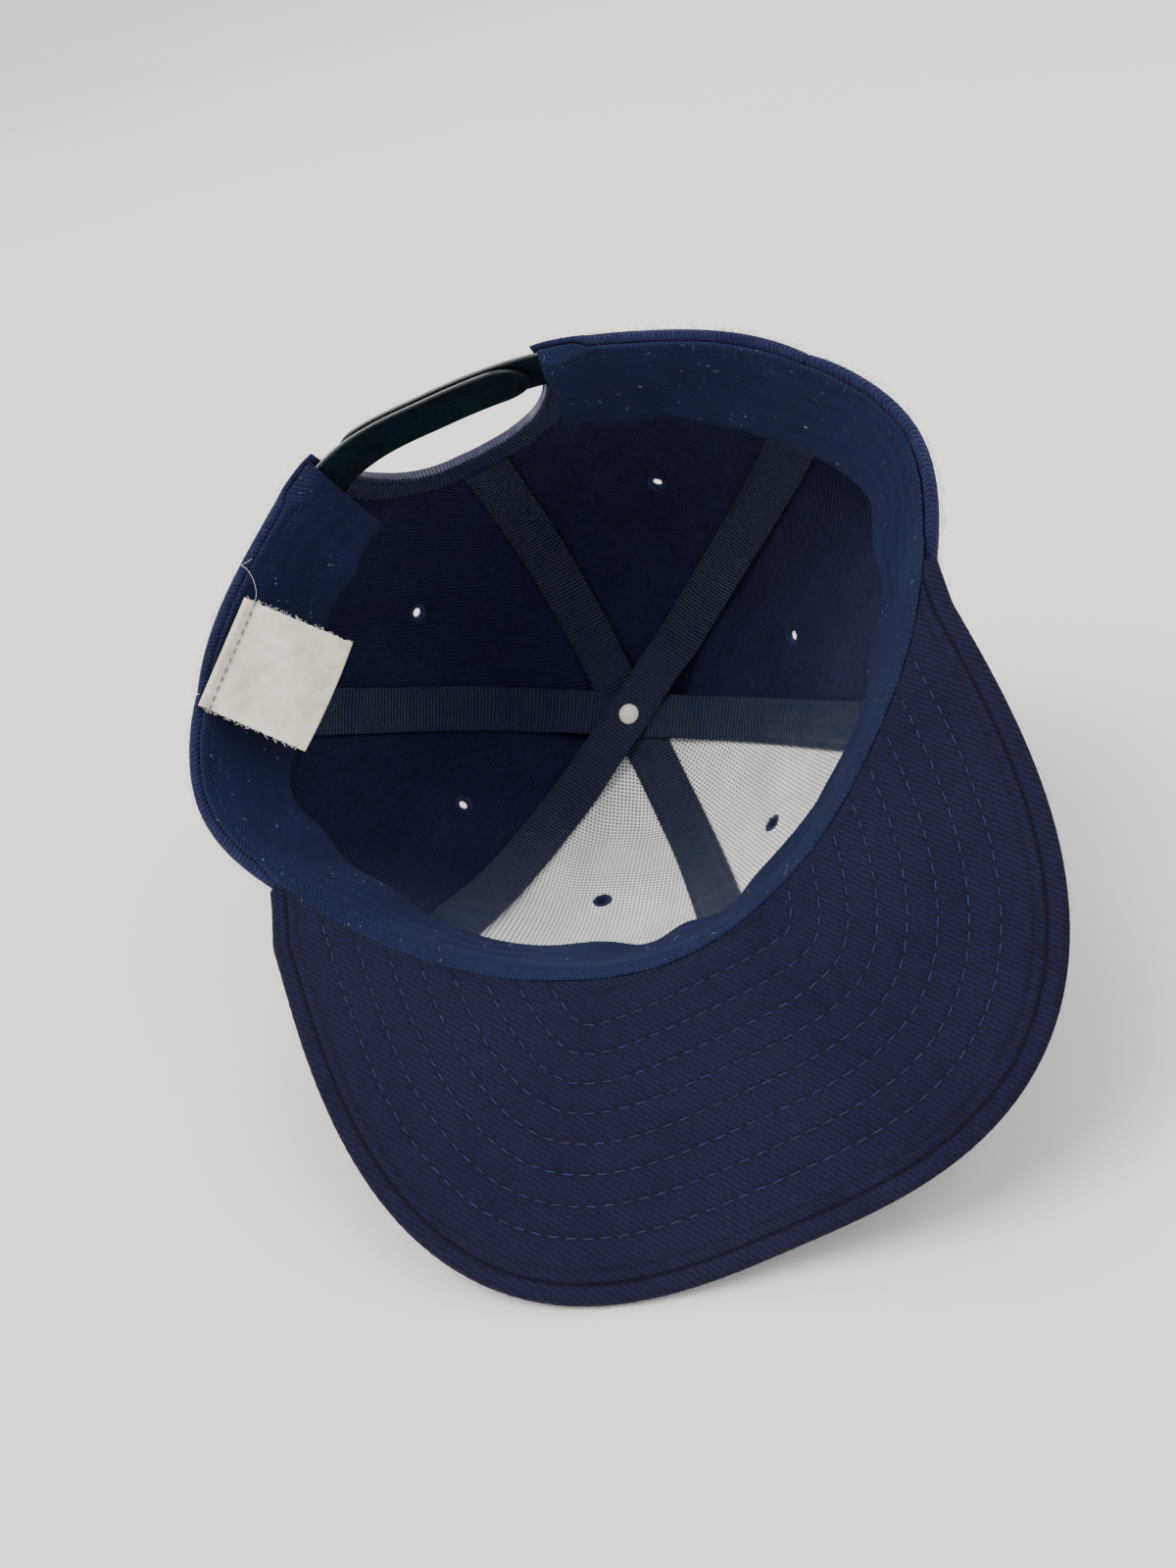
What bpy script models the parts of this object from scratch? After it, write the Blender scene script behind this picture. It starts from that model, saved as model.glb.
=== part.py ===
"""Snapback cap, lying upside down on its crown and on the edge of its brim.

Every piece is worked out in the cap's own upright frame: X to the wearer's left, Y to the back and
Z up through the button, with the rim near Z = 0. An azimuth is counted from the front towards the
wearer's left. A climb runs from 0 at the rim to 1 at the button. An empty carries all pieces and
turns the cap over, so that it lies on the floor at world Z = 0. Lengths are metres.
"""

from math import asin, atan2, cos, degrees, exp, pi, radians, sin, sqrt

import bmesh
import bpy
from mathutils import Matrix, Vector

# Clearances: between stiff pieces, and between layers of cloth whose facets differ
GAP = 0.0003
CLOTH_GAP = 0.0007

# Crown
RIM_RADIUS = 0.091
CROWN_HEIGHT = 0.119
CROWN_ROUND = 0.97
CROWN_FLARE = 0.0015
CROWN_POWER = 2.2
BUTTON_FORWARD = 0.008
BACK_RISE = 0.004
PANEL_THICK = 0.0016
PANEL_COLUMNS = 8
PANEL_ROWS = 13
ROWS_ABOVE_ARCH = 8
TOP_HOLE_RADIUS = 0.0030
FOLD_THICK = 0.0020
FOLD_HEIGHT = 0.009
FOLD_FADE = 0.004

# Line where the sweatband is sewn to the rim, seen from above: its distance from the middle as a
# share of RIM_RADIUS. The sides bulge where the cap has been folded.
RIM_ROWS = [
    # azimuth, left, right
    (0.0, 1.000, 1.000),
    (22.5, 0.965, 0.995),
    (45.0, 0.960, 1.000),
    (67.5, 1.000, 1.065),
    (90.0, 1.100, 1.155),
    (112.5, 0.995, 1.020),
    (135.0, 0.895, 0.875),
    (157.5, 0.860, 0.805),
    (180.0, 0.795, 0.795),
]

# Soft dents in the crown: how deep each one is as a share of RIM_RADIUS, and where it lies.
DENT_ROWS = [
    # azimuth, climb, half width in degrees, half width in climb, depth
    (49.0, 0.30, 9.0, 0.13, 0.035),
    (36.0, 0.22, 8.0, 0.10, -0.014),
    (93.0, 0.30, 14.0, 0.22, 0.030),
    (-93.0, 0.34, 15.0, 0.24, 0.035),
    (140.0, 0.36, 16.0, 0.20, 0.022),
    (-150.0, 0.42, 14.0, 0.18, 0.020),
    (-38.0, 0.30, 12.0, 0.16, 0.012),
]

# Azimuth of each seam between panels, at the rim and at the button
FRONT_SEAM = (-5.0, -2.0)
SIDE_SEAM = (50.0, 60.0)
REAR_SEAM = (108.0, 120.0)
BACK_SEAM = (180.0, 180.0)

# Stiff backing of the two front panels
BUCKRAM_THICK = 0.0009
BUCKRAM_INSET = 0.0035
BUCKRAM_FOOT = 0.015

# Tapes over the seams. They cross under the button in three layers.
TAPE_WIDTH = 0.0155
TAPE_THICK = 0.0009
TAPE_FOOT = 0.016
TAPE_COLUMNS = 4
TAPE_ROWS = 13
STACK_RADIUS = 0.017
STACK_FADE = 0.016

# Sweatband: its lean is how far the free edge stands in, as a share of BAND_WIDTH.
BAND_WIDTH = 0.0285
BAND_THICK = 0.0012
BAND_COLUMNS = 56
BAND_ROWS_ACROSS = 4
BAND_LEAN_ROWS = [
    # azimuth, left, right
    (0.0, 0.20, 0.20),
    (22.5, 0.20, 0.21),
    (45.0, 0.21, 0.22),
    (67.5, 0.24, 0.24),
    (90.0, 0.42, 0.30),
    (112.5, 0.52, 0.34),
    (135.0, 0.50, 0.32),
    (157.5, 0.42, 0.30),
    (180.0, 0.40, 0.30),
]

# Brim: a board between two cloths. Its outline is a box-like oval past BRIM_WIDEST, and BRIM_LEAD
# is the share of it that runs straight from the crown to the widest place. It leaves the crown at
# BRIM_ROOT_SHARE of its half width. The rim eases onto it over BRIM_MEET_EASE, from BRIM_MEET behind
# its widest place.
BRIM_LENGTH = 0.0688
BRIM_HALF_WIDTH = 0.0953
BRIM_WIDEST = 0.044
BRIM_LEAD = 0.06
BRIM_POWER = 2.84
BRIM_THICK = 0.0034
BRIM_EDGE_ROUND = 0.0011
BRIM_ROOT_SHARE = 0.951
BRIM_SLOPE = 0.30
BRIM_ARCH_RADIUS = 0.345
BRIM_LEVEL_AT = 0.085
BRIM_COLUMNS = 40
BRIM_ROWS = 4
BRIM_EASE = 0.020
BRIM_MEET = 0.015
BRIM_MEET_EASE = 0.030

# Opening above the strap and its binding
ARCH_HALF_WIDTH = 0.034
ARCH_HEIGHT = 0.0485
ARCH_POWER = 2.3
ARCH_ROWS = 6
BINDING_WIDTH = 0.008
BINDING_THICK = 0.0009
BINDING_COLUMNS = 22

# Snap strap: a half with pegs inside and a half with holes outside
STRAP_WIDTH = 0.0195
STRAP_THICK = 0.0011
STRAP_LOW = 0.0010
STRAP_TUCK = 0.011
STRAP_SHORT = 0.004
STRAP_COLUMNS = 20
STRAP_TIP = 0.008
PEG_COUNT = 7
PEG_PITCH = 0.0082
PEG_RADIUS = 0.0018
PEG_STAND = 0.0007
HOLE_REACH = 0.004
ROUND_SIDES = 12

# Button and the rivet that holds it
BUTTON_RADIUS = 0.0085
BUTTON_HEIGHT = 0.0048
RIVET_RADIUS = 0.0034
RIVET_HEIGHT = 0.0013
SHANK_RADIUS = 0.0011
SHANK_REACH = 0.03
TURNED_STEPS = 12

# Stitched eyelets
EYELET_HOLE_RADIUS = 0.0013
EYELET_RADIUS = 0.0036
EYELET_SINK = 0.0001
EYELET_REACH = 0.02
EYELET_ROWS = [
    # name, azimuth, climb
    ("eyelet_front_left", 26.0, 0.47),
    ("eyelet_front_right", -26.0, 0.47),
    ("eyelet_side_left", 83.0, 0.55),
    ("eyelet_side_right", -83.0, 0.55),
    ("eyelet_back_left", 140.0, 0.43),
    ("eyelet_back_right", -140.0, 0.43),
]

# Woven label, sewn in the rim seam LABEL_IN inside the wool's edge and turned a little
LABEL_AZIMUTH = 115.5
LABEL_LENGTH = 0.0315
LABEL_DEPTH = 0.0325
LABEL_THICK = 0.0008
LABEL_RISE = 0.0065
LABEL_IN = 0.0068
LABEL_TURN = 8.0
LABEL_STEPS = 6

# How the cap lies: the side it leans to and how far the soft crown gives way to the floor
REST_AZIMUTH = 20.0
REST_GIVE = 0.003
REST_SOFT = 0.0015
REST_YAW = -15.0


def smooth(value):
    """Ease from 0 to 1."""
    share = min(max(value, 0.0), 1.0)
    return share * share * (3.0 - 2.0 * share)


def mix(first, second, share):
    return first + (second - first) * share


def turned(azimuth):
    """The azimuth within half a turn of the front."""
    return (azimuth + 180.0) % 360.0 - 180.0


def from_table(rows, azimuth):
    """Smooth value of a table with a left and a right column at an azimuth."""
    step = rows[1][0] - rows[0][0]
    ring = [row[1] for row in rows] + [row[2] for row in rows[-2:0:-1]]
    place = (azimuth % 360.0) / step
    i = int(place)
    t = place - i
    a, b, c, d = (ring[(i + k) % len(ring)] for k in (-1, 0, 1, 2))
    return b + 0.5 * t * (c - a + t * (2 * a - 5 * b + 4 * c - d + t * (3 * (b - c) + d - a)))


def seam_reach(azimuth):
    """Distance of the sweatband's seam from the middle."""
    return RIM_RADIUS * from_table(RIM_ROWS, azimuth)


def arch_edge_azimuth():
    """Azimuth of the arch's foot, left or right."""
    return 180.0 - degrees(asin(ARCH_HALF_WIDTH / (seam_reach(160.0) + PANEL_THICK)))


def tuck_share(azimuth):
    """1 where a strap end is tucked behind the sweatband, 0 along the rest of the rim."""
    tuck = degrees(STRAP_TUCK / RIM_RADIUS)
    start = arch_edge_azimuth() - 1.6 * tuck
    return smooth((abs(turned(azimuth)) - start) / (0.5 * tuck))


def fold_depth(azimuth):
    """Extra thickness of the turned edge at the rim."""
    return FOLD_THICK * (1.0 - tuck_share(azimuth))


def band_depth(azimuth):
    """How far behind the crown's outer face the sweatband starts."""
    straps = 2.0 * (STRAP_THICK + GAP)
    return PANEL_THICK + mix(FOLD_THICK, straps, tuck_share(azimuth)) + CLOTH_GAP


def brim_top(x, y):
    """Height of the brim's upper face, arched from side to side and falling to the front."""
    arch = (BRIM_LEVEL_AT ** 2 - x * x) / (2.0 * BRIM_ARCH_RADIUS)
    return arch - BRIM_SLOPE * (-BRIM_WIDEST - y)


def rim_height(azimuth):
    """Height of the crown's lower edge, which sits on the brim in front."""
    reach = seam_reach(azimuth)
    x = reach * sin(radians(azimuth))
    y = -reach * cos(radians(azimuth))
    on_brim = smooth((BRIM_MEET - BRIM_WIDEST - y) / BRIM_MEET_EASE)
    behind = BACK_RISE * min(max((y + BRIM_WIDEST) / (RIM_RADIUS + BRIM_WIDEST), 0.0), 1.0)
    return mix(behind, brim_top(x, y) + GAP, on_brim)


def crown_face(azimuth, climb):
    """Point on the crown's outer face before it gives way to the floor."""
    angle = min(max(climb, 0.0), 1.0) * pi / 2.0
    across = max(cos(angle), 0.0) ** (2.0 / CROWN_POWER)
    up = sin(angle) ** (2.0 / CROWN_POWER)
    rim = seam_reach(azimuth) + PANEL_THICK + FOLD_THICK
    reach = mix(rim, CROWN_ROUND * RIM_RADIUS, smooth(up)) + CROWN_FLARE * sin(pi * min(up / 0.7, 1.0))
    for middle, height, wide, tall, depth in DENT_ROWS:
        off = turned(azimuth - middle) / wide
        rise = (climb - height) / tall
        reach -= RIM_RADIUS * depth * exp(-off * off - rise * rise)
    x = reach * across * sin(radians(azimuth))
    y = -reach * across * cos(radians(azimuth)) - BUTTON_FORWARD * up
    return Vector((x, y, mix(rim_height(azimuth), CROWN_HEIGHT, up)))


def crown_normal(azimuth, climb):
    """Outward direction of the crown's face."""
    low = min(max(climb, 0.004), 0.985)
    east = crown_face(azimuth + 0.5, low) - crown_face(azimuth - 0.5, low)
    north = crown_face(azimuth, low + 0.004) - crown_face(azimuth, low - 0.004)
    return east.cross(north).normalized()


def climb_at(height):
    """Climb at a height above the rim."""
    share = min(max(height / CROWN_HEIGHT, 0.0), 1.0)
    return asin(share ** (CROWN_POWER / 2.0)) * 2.0 / pi


def climb_of_reach(azimuth, reach):
    """Climb where the crown's face is at a distance from the button's axis."""
    low, high = 0.0, 1.0
    for _ in range(24):
        middle = 0.5 * (low + high)
        point = crown_face(azimuth, middle)
        height = sin(middle * pi / 2.0) ** (2.0 / CROWN_POWER)
        if Vector((point.x, point.y + BUTTON_FORWARD * height)).length > reach:
            low = middle
        else:
            high = middle
    return 0.5 * (low + high)


def brim_root_azimuth():
    """Azimuth where the brim leaves the crown on either side."""
    low, high = 0.0, 90.0
    for _ in range(40):
        middle = 0.5 * (low + high)
        reach = 0.5 * (seam_reach(middle) + seam_reach(-middle))
        if reach * sin(radians(middle)) < BRIM_ROOT_SHARE * BRIM_HALF_WIDTH:
            low = middle
        else:
            high = middle
    return middle


BRIM_ROOT_AZIMUTH = brim_root_azimuth()


def brim_outline(share):
    """Point of the brim's outer edge in plan, from the left root at 0 to the right root at 1."""
    side = 1.0 if share < 0.5 else -1.0
    angle = radians(BRIM_ROOT_AZIMUTH)
    reach = seam_reach(side * BRIM_ROOT_AZIMUTH) + PANEL_THICK + FOLD_THICK + GAP
    root = Vector((side * reach * sin(angle), -reach * cos(angle)))
    lead = Vector((side * BRIM_HALF_WIDTH, -BRIM_WIDEST))
    along = share if side > 0 else 1.0 - share
    if along < BRIM_LEAD:
        return root.lerp(lead, along / BRIM_LEAD)
    turn = (along - BRIM_LEAD) / (0.5 - BRIM_LEAD) * pi / 2.0
    power = 2.0 / BRIM_POWER
    front = seam_reach(0.0) + BRIM_LENGTH - BRIM_WIDEST
    x = side * BRIM_HALF_WIDTH * max(cos(turn), 0.0) ** power
    return Vector((x, -BRIM_WIDEST - front * sin(turn) ** power))


def even_brim_shares():
    """Shares of the outline that lie at even distances along it."""
    fine = 600
    points = [brim_outline(i / fine) for i in range(fine + 1)]
    run = [0.0]
    for i in range(fine):
        run.append(run[-1] + (points[i + 1] - points[i]).length)
    shares = []
    i = 0
    for k in range(BRIM_COLUMNS + 1):
        want = run[-1] * k / BRIM_COLUMNS
        while i < fine - 1 and run[i + 1] < want:
            i += 1
        shares.append((i + (want - run[i]) / (run[i + 1] - run[i])) / fine)
    return shares


def brim_grid():
    """Points of the brim's upper face: one row for each step from the root to the edge."""
    rows = []
    root_depth = PANEL_THICK + FOLD_THICK - BRIM_THICK * BRIM_SLOPE
    outer = [brim_outline(share) for share in even_brim_shares()]
    for j in range(BRIM_ROWS + 1):
        row = []
        for k, edge in enumerate(outer):
            azimuth = mix(BRIM_ROOT_AZIMUTH, -BRIM_ROOT_AZIMUTH, k / BRIM_COLUMNS)
            inner = crown_face(azimuth, 0.0)
            normal = Vector((inner.x, inner.y)).normalized()
            root = Vector((inner.x, inner.y)) - normal * root_depth
            plan = root.lerp(edge, j / BRIM_ROWS)
            fit = rim_height(azimuth) - GAP - brim_top(root.x, root.y)
            near = max(1.0 - (plan - root).length / BRIM_EASE, 0.0) ** 2
            row.append(Vector((plan.x, plan.y, brim_top(plan.x, plan.y) + fit * near)))
        rows.append(row)
    return rows


def lying_tilt():
    """Angle of the floor where both the brim's edge and the crown touch it."""
    edge = [point - Vector((0.0, 0.0, BRIM_THICK * k)) for point in brim_grid()[-1] for k in (0, 1)]
    crown = [crown_face(REST_AZIMUTH + a, 0.02 * c) for a in range(-60, 61, 4) for c in range(51)]
    low, high = 5.0, 80.0
    for _ in range(30):
        middle = 0.5 * (low + high)
        down = floor_direction(middle)
        touch_edge = max(point.dot(down) for point in edge)
        touch_crown = max(point.dot(down) for point in crown) - REST_GIVE
        if touch_edge > touch_crown:
            low = middle
        else:
            high = middle
    return middle, touch_edge


def floor_direction(tilt):
    """Direction to the floor, in the cap's frame."""
    side = radians(REST_AZIMUTH)
    lean = radians(tilt)
    return Vector((sin(side) * cos(lean), -cos(side) * cos(lean), sin(lean)))


FLOOR_TILT, FLOOR_REACH = lying_tilt()
DOWN = floor_direction(FLOOR_TILT)


def give_way(guide):
    """How far the floor pushes back the cloth whose outer face is at a point."""
    height = FLOOR_REACH - guide.dot(DOWN)
    if height >= REST_SOFT:
        return Vector((0.0, 0.0, 0.0))
    raised = (height + REST_SOFT) ** 2 / (4.0 * REST_SOFT) if height > -REST_SOFT else 0.0
    return DOWN * (height - raised)


def crown_point(azimuth, climb, depth):
    """Point at a depth behind the crown's outer face, as the cap lies."""
    face = crown_face(azimuth, climb)
    return face - crown_normal(azimuth, climb) * depth + give_way(face)


# Setting up the scene

def clear_scene():
    for item in list(bpy.data.objects):
        bpy.data.objects.remove(item, do_unlink=True)
    for collection in list(bpy.data.collections):
        bpy.data.collections.remove(collection)


def new_collection(name):
    collection = bpy.data.collections.new(name)
    bpy.context.scene.collection.children.link(collection)
    return collection


def new_material(name, color, roughness, metallic=0.0):
    material = bpy.data.materials.new(name)
    material.use_nodes = True
    shader = material.node_tree.nodes["Principled BSDF"]
    shader.inputs["Base Color"].default_value = (*color, 1.0)
    shader.inputs["Roughness"].default_value = roughness
    shader.inputs["Metallic"].default_value = metallic
    material.diffuse_color = (*color, 1.0)
    return material


def add_object(name, mesh, material, collection, carrier):
    """Put a mesh in the scene under the empty that carries the cap."""
    item = bpy.data.objects.new(name, mesh)
    mesh.materials.append(material)
    mesh.shade_smooth()
    mesh.set_sharp_from_angle(angle=radians(40.0))
    collection.objects.link(item)
    item.parent = carrier
    return item


def grid_mesh(name, rows):
    """Open surface through rows of points, facing along (columns x rows)."""
    mesh = bpy.data.meshes.new(name)
    shape = bmesh.new()
    verts = [[shape.verts.new(point) for point in row] for row in rows]
    for low, high in zip(verts, verts[1:]):
        for i in range(len(low) - 1):
            shape.faces.new((low[i], low[i + 1], high[i + 1], high[i]))
    shape.to_mesh(mesh)
    shape.free()
    return mesh


def thicken(item, thickness):
    """Give an open surface a wall behind its face."""
    wall = item.modifiers.new("wall", "SOLIDIFY")
    wall.thickness = thickness
    wall.offset = -1.0
    return wall


def boolean(item, other, operation):
    """Cut or join with the exact solver."""
    step = item.modifiers.new(operation.lower(), "BOOLEAN")
    step.operation = operation
    step.object = other
    step.solver = "EXACT"


def add_rod(name, radius, length, center, direction, collection, carrier):
    """Round cutter or stud along a direction."""
    mesh = bpy.data.meshes.new(name)
    shape = bmesh.new()
    bmesh.ops.create_cone(
        shape,
        cap_ends=True,
        segments=ROUND_SIDES,
        radius1=radius,
        radius2=radius,
        depth=length,
    )
    shape.to_mesh(mesh)
    shape.free()
    rod = bpy.data.objects.new(name, mesh)
    collection.objects.link(rod)
    rod.parent = carrier
    rod.location = center
    rod.rotation_mode = "QUATERNION"
    rod.rotation_quaternion = direction.to_track_quat("Z", "Y")
    rod.hide_render = True
    rod.display_type = "WIRE"
    return rod


# Pieces

def seam_azimuth(seam, climb):
    """Azimuth of a seam, which bends a little on its way to the button."""
    return mix(seam[0], seam[1], smooth(climb))


def mirrored(seam):
    return (-seam[0], -seam[1])


def half_gap_angle(azimuth, climb, gap):
    """Angle that half a gap spans at a climb."""
    face = crown_face(azimuth, climb)
    reach = max(Vector((face.x, face.y + BUTTON_FORWARD * smooth(climb))).length, 0.5 * TOP_HOLE_RADIUS)
    return degrees(0.5 * gap / reach)


def top_climb():
    return climb_of_reach(0.0, TOP_HOLE_RADIUS)


def arch_half_angle(height):
    """Half the azimuth that the arch spans at a height above the rim."""
    if height >= ARCH_HEIGHT:
        return 0.0
    half = ARCH_HALF_WIDTH * (1.0 - (height / ARCH_HEIGHT) ** ARCH_POWER) ** (1.0 / ARCH_POWER)
    low, high = 0.0, 60.0
    climb = climb_at(height)
    for _ in range(24):
        middle = 0.5 * (low + high)
        if crown_face(180.0 - middle, climb).x < half:
            low = middle
        else:
            high = middle
    return 0.5 * (low + high)


def panel_climbs(has_arch):
    """Climbs of a panel's rows, closer together around the arch."""
    if not has_arch:
        return [top_climb() * k / PANEL_ROWS for k in range(PANEL_ROWS + 1)]
    power = 2.0 / ARCH_POWER
    heights = [ARCH_HEIGHT * sin(pi / 2.0 * k / ARCH_ROWS) ** power for k in range(ARCH_ROWS + 1)]
    climbs = [climb_at(height) for height in heights]
    steps = [k / ROWS_ABOVE_ARCH for k in range(1, ROWS_ABOVE_ARCH + 1)]
    return climbs + [mix(climbs[-1], top_climb(), step) for step in steps]


def make_panel(name, first, last, arch_side, material, collection, carrier):
    """One panel of the crown between two seams; arch_side is 1 or -1 on the two at the back."""
    climbs = panel_climbs(arch_side != 0)
    rows = []
    for climb in climbs:
        start = seam_azimuth(first, climb)
        end = seam_azimuth(last, climb)
        start += half_gap_angle(start, climb, CLOTH_GAP)
        end -= half_gap_angle(end, climb, CLOTH_GAP)
        height = CROWN_HEIGHT * sin(climb * pi / 2.0) ** (2.0 / CROWN_POWER)
        if arch_side > 0:
            end -= arch_half_angle(height)
        if arch_side < 0:
            start += arch_half_angle(height)
        row = [
            crown_point(mix(start, end, k / PANEL_COLUMNS), climb, 0.0) for k in range(PANEL_COLUMNS + 1)
        ]
        rows.append(row)
    item = add_object(name, grid_mesh(name, rows), material, collection, carrier)
    wall = thicken(item, PANEL_THICK + FOLD_THICK)
    fold = item.vertex_groups.new(name="fold")
    for i, climb in enumerate(climbs):
        height = CROWN_HEIGHT * sin(climb * pi / 2.0) ** (2.0 / CROWN_POWER)
        low = 1.0 - smooth((height - FOLD_HEIGHT) / FOLD_FADE)
        for k in range(PANEL_COLUMNS + 1):
            azimuth = mix(first[0], last[0], k / PANEL_COLUMNS)
            fold.add([i * (PANEL_COLUMNS + 1) + k], low * fold_depth(azimuth) / FOLD_THICK, "REPLACE")
    wall.vertex_group = "fold"
    wall.thickness_vertex_group = PANEL_THICK / (PANEL_THICK + FOLD_THICK)
    return item


def make_buckram(name, first, last, material, collection, carrier):
    """Stiff backing that follows a front panel."""
    depth = PANEL_THICK + CLOTH_GAP
    foot = climb_at(BUCKRAM_FOOT)
    top = climb_of_reach(0.0, STACK_RADIUS * 0.7)
    rows = []
    for i in range(PANEL_ROWS):
        climb = mix(foot, top, i / (PANEL_ROWS - 1))
        start = seam_azimuth(first, climb)
        end = seam_azimuth(last, climb)
        start += half_gap_angle(start, climb, 2.0 * BUCKRAM_INSET)
        end -= half_gap_angle(end, climb, 2.0 * BUCKRAM_INSET)
        columns = PANEL_COLUMNS - 1
        rows.append([crown_point(mix(start, end, k / columns), climb, depth) for k in range(columns + 1)])
    item = add_object(name, grid_mesh(name, rows), material, collection, carrier)
    thicken(item, BUCKRAM_THICK)
    return item


def tape_half(seam, foot_height, base_depth, layer):
    """Rows of points of a tape from its foot to the button's axis."""
    lining = PANEL_THICK + BUCKRAM_THICK + 2.0 * CLOTH_GAP
    stack = lining + layer * (TAPE_THICK + CLOTH_GAP)
    foot = climb_at(foot_height)
    rows = []
    for i in range(TAPE_ROWS):
        climb = mix(foot, 1.0, i / TAPE_ROWS)
        azimuth = seam_azimuth(seam, climb)
        face = crown_face(azimuth, climb)
        height = sin(climb * pi / 2.0) ** (2.0 / CROWN_POWER)
        reach = Vector((face.x, face.y + BUTTON_FORWARD * height)).length
        share = 1.0 - smooth((reach - STACK_RADIUS) / STACK_FADE)
        depth = mix(base_depth, stack, share)
        row = []
        for k in range(TAPE_COLUMNS + 1):
            aside = TAPE_WIDTH * (k / TAPE_COLUMNS - 0.5)
            swing = degrees(atan2(aside, reach))
            point_climb = climb
            if climb > 0.5:
                point_climb = climb_of_reach(azimuth + swing, sqrt(reach ** 2 + aside ** 2))
            else:
                swing = degrees(aside / reach)
            row.append(crown_point(azimuth + swing, point_climb, depth))
        rows.append(row)
    return rows


def tape_middle(seam, layer):
    """Row of points of a tape across the button's axis."""
    depth = PANEL_THICK + BUCKRAM_THICK + 2.0 * CLOTH_GAP + layer * (TAPE_THICK + CLOTH_GAP)
    row = []
    for k in range(TAPE_COLUMNS + 1):
        aside = TAPE_WIDTH * (k / TAPE_COLUMNS - 0.5)
        azimuth = seam[1] + (90.0 if aside >= 0 else -90.0)
        row.append(crown_point(azimuth, climb_of_reach(azimuth, abs(aside)), depth))
    return row


def make_tape(name, first, first_foot, first_depth, last, last_foot, last_depth, layer, cutter,
              material, collection, carrier):
    """Tape that runs up one seam, over the middle and down the seam across from it."""
    rows = tape_half(first, first_foot, first_depth, layer)
    rows.append(tape_middle(first, layer))
    rows += [row[::-1] for row in tape_half(last, last_foot, last_depth, layer)[::-1]]
    item = add_object(name, grid_mesh(name, rows), material, collection, carrier)
    thicken(item, TAPE_THICK)
    boolean(item, cutter, "DIFFERENCE")
    return item


def brim_share(azimuth):
    """1 along the brim's root, 0 behind it."""
    return 1.0 - smooth((abs(turned(azimuth)) - BRIM_ROOT_AZIMUTH + 2.0) / 8.0)


def make_sweatband(material, collection, carrier):
    """Band sewn to the rim and turned up inside the crown."""
    end = arch_edge_azimuth() - 0.5
    rows = []
    for i in range(BAND_ROWS_ACROSS + 1):
        row = []
        for k in range(BAND_COLUMNS + 1):
            azimuth = mix(-end, end, k / BAND_COLUMNS)
            lean = from_table(BAND_LEAN_ROWS, azimuth)
            across = BAND_WIDTH * i / BAND_ROWS_ACROSS
            height = across * sqrt(1.0 - lean * lean)
            depth = band_depth(azimuth) + across * lean
            point = crown_point(azimuth, climb_at(height), depth)
            drop = (BRIM_THICK + GAP) * brim_share(azimuth) * (1.0 - i / BAND_ROWS_ACROSS)
            row.append(point - Vector((0.0, 0.0, drop)))
        rows.append(row)
    item = add_object("sweatband", grid_mesh("sweatband", rows), material, collection, carrier)
    thicken(item, BAND_THICK)
    return item


def make_brim(material, collection, carrier):
    """Brim board in its cloth, rounded along the edge."""
    item = add_object("brim", grid_mesh("brim", brim_grid()), material, collection, carrier)
    thicken(item, BRIM_THICK)
    edge = item.modifiers.new("edge", "BEVEL")
    edge.width = BRIM_EDGE_ROUND
    edge.segments = 2
    edge.limit_method = "ANGLE"
    edge.angle_limit = radians(60.0)
    return item


def arch_place(x, height):
    """Azimuth where the crown's face is at a sideways distance x and a height above the rim."""
    low, high = -70.0, 70.0
    climb = climb_at(height)
    for _ in range(28):
        middle = 0.5 * (low + high)
        if crown_face(180.0 - middle, climb).x < x:
            low = middle
        else:
            high = middle
    return 180.0 - 0.5 * (low + high)


def make_binding(material, collection, carrier):
    """Ribbed binding around the inside of the arch, from strap to strap."""
    power = 2.0 / ARCH_POWER
    clear = STRAP_LOW + STRAP_WIDTH + 4.0 * GAP
    start = asin(min((clear / ARCH_HEIGHT) ** (1.0 / power), 1.0))
    rows = []
    for step in (0, 1, 2):
        row = []
        for k in range(BINDING_COLUMNS + 1):
            angle = mix(start, pi - start, k / BINDING_COLUMNS)
            side = 1.0 if cos(angle) >= 0 else -1.0
            x = side * ARCH_HALF_WIDTH * abs(cos(angle)) ** power
            z = ARCH_HEIGHT * sin(angle) ** power
            out = Vector((
                side * (abs(x) / ARCH_HALF_WIDTH) ** (ARCH_POWER - 1.0) / ARCH_HALF_WIDTH,
                (z / ARCH_HEIGHT) ** (ARCH_POWER - 1.0) / ARCH_HEIGHT,
            )).normalized()
            far = GAP + BINDING_WIDTH * step / 2.0
            height = max(z + out.y * far, clear)
            azimuth = arch_place(x + out.x * far, height)
            row.append(crown_point(azimuth, climb_at(height), PANEL_THICK + CLOTH_GAP))
        rows.append(row)
    item = add_object("arch_binding", grid_mesh("arch_binding", rows), material, collection, carrier)
    thicken(item, BINDING_THICK)
    return item


def strap_azimuths(side):
    """Azimuths of a strap half from its sewn end to its free tip."""
    edge = arch_edge_azimuth()
    sewn = edge - degrees(STRAP_TUCK / seam_reach(edge))
    tip = 360.0 - edge - degrees(STRAP_SHORT / seam_reach(170.0))
    if side < 0:
        return (360.0 - sewn, 360.0 - tip)
    return (sewn, tip)


def strap_depth(layer):
    """Depth of a strap half's outer face: layer 0 is outside and layer 1 inside."""
    return PANEL_THICK + CLOTH_GAP + layer * (STRAP_THICK + GAP)


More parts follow.
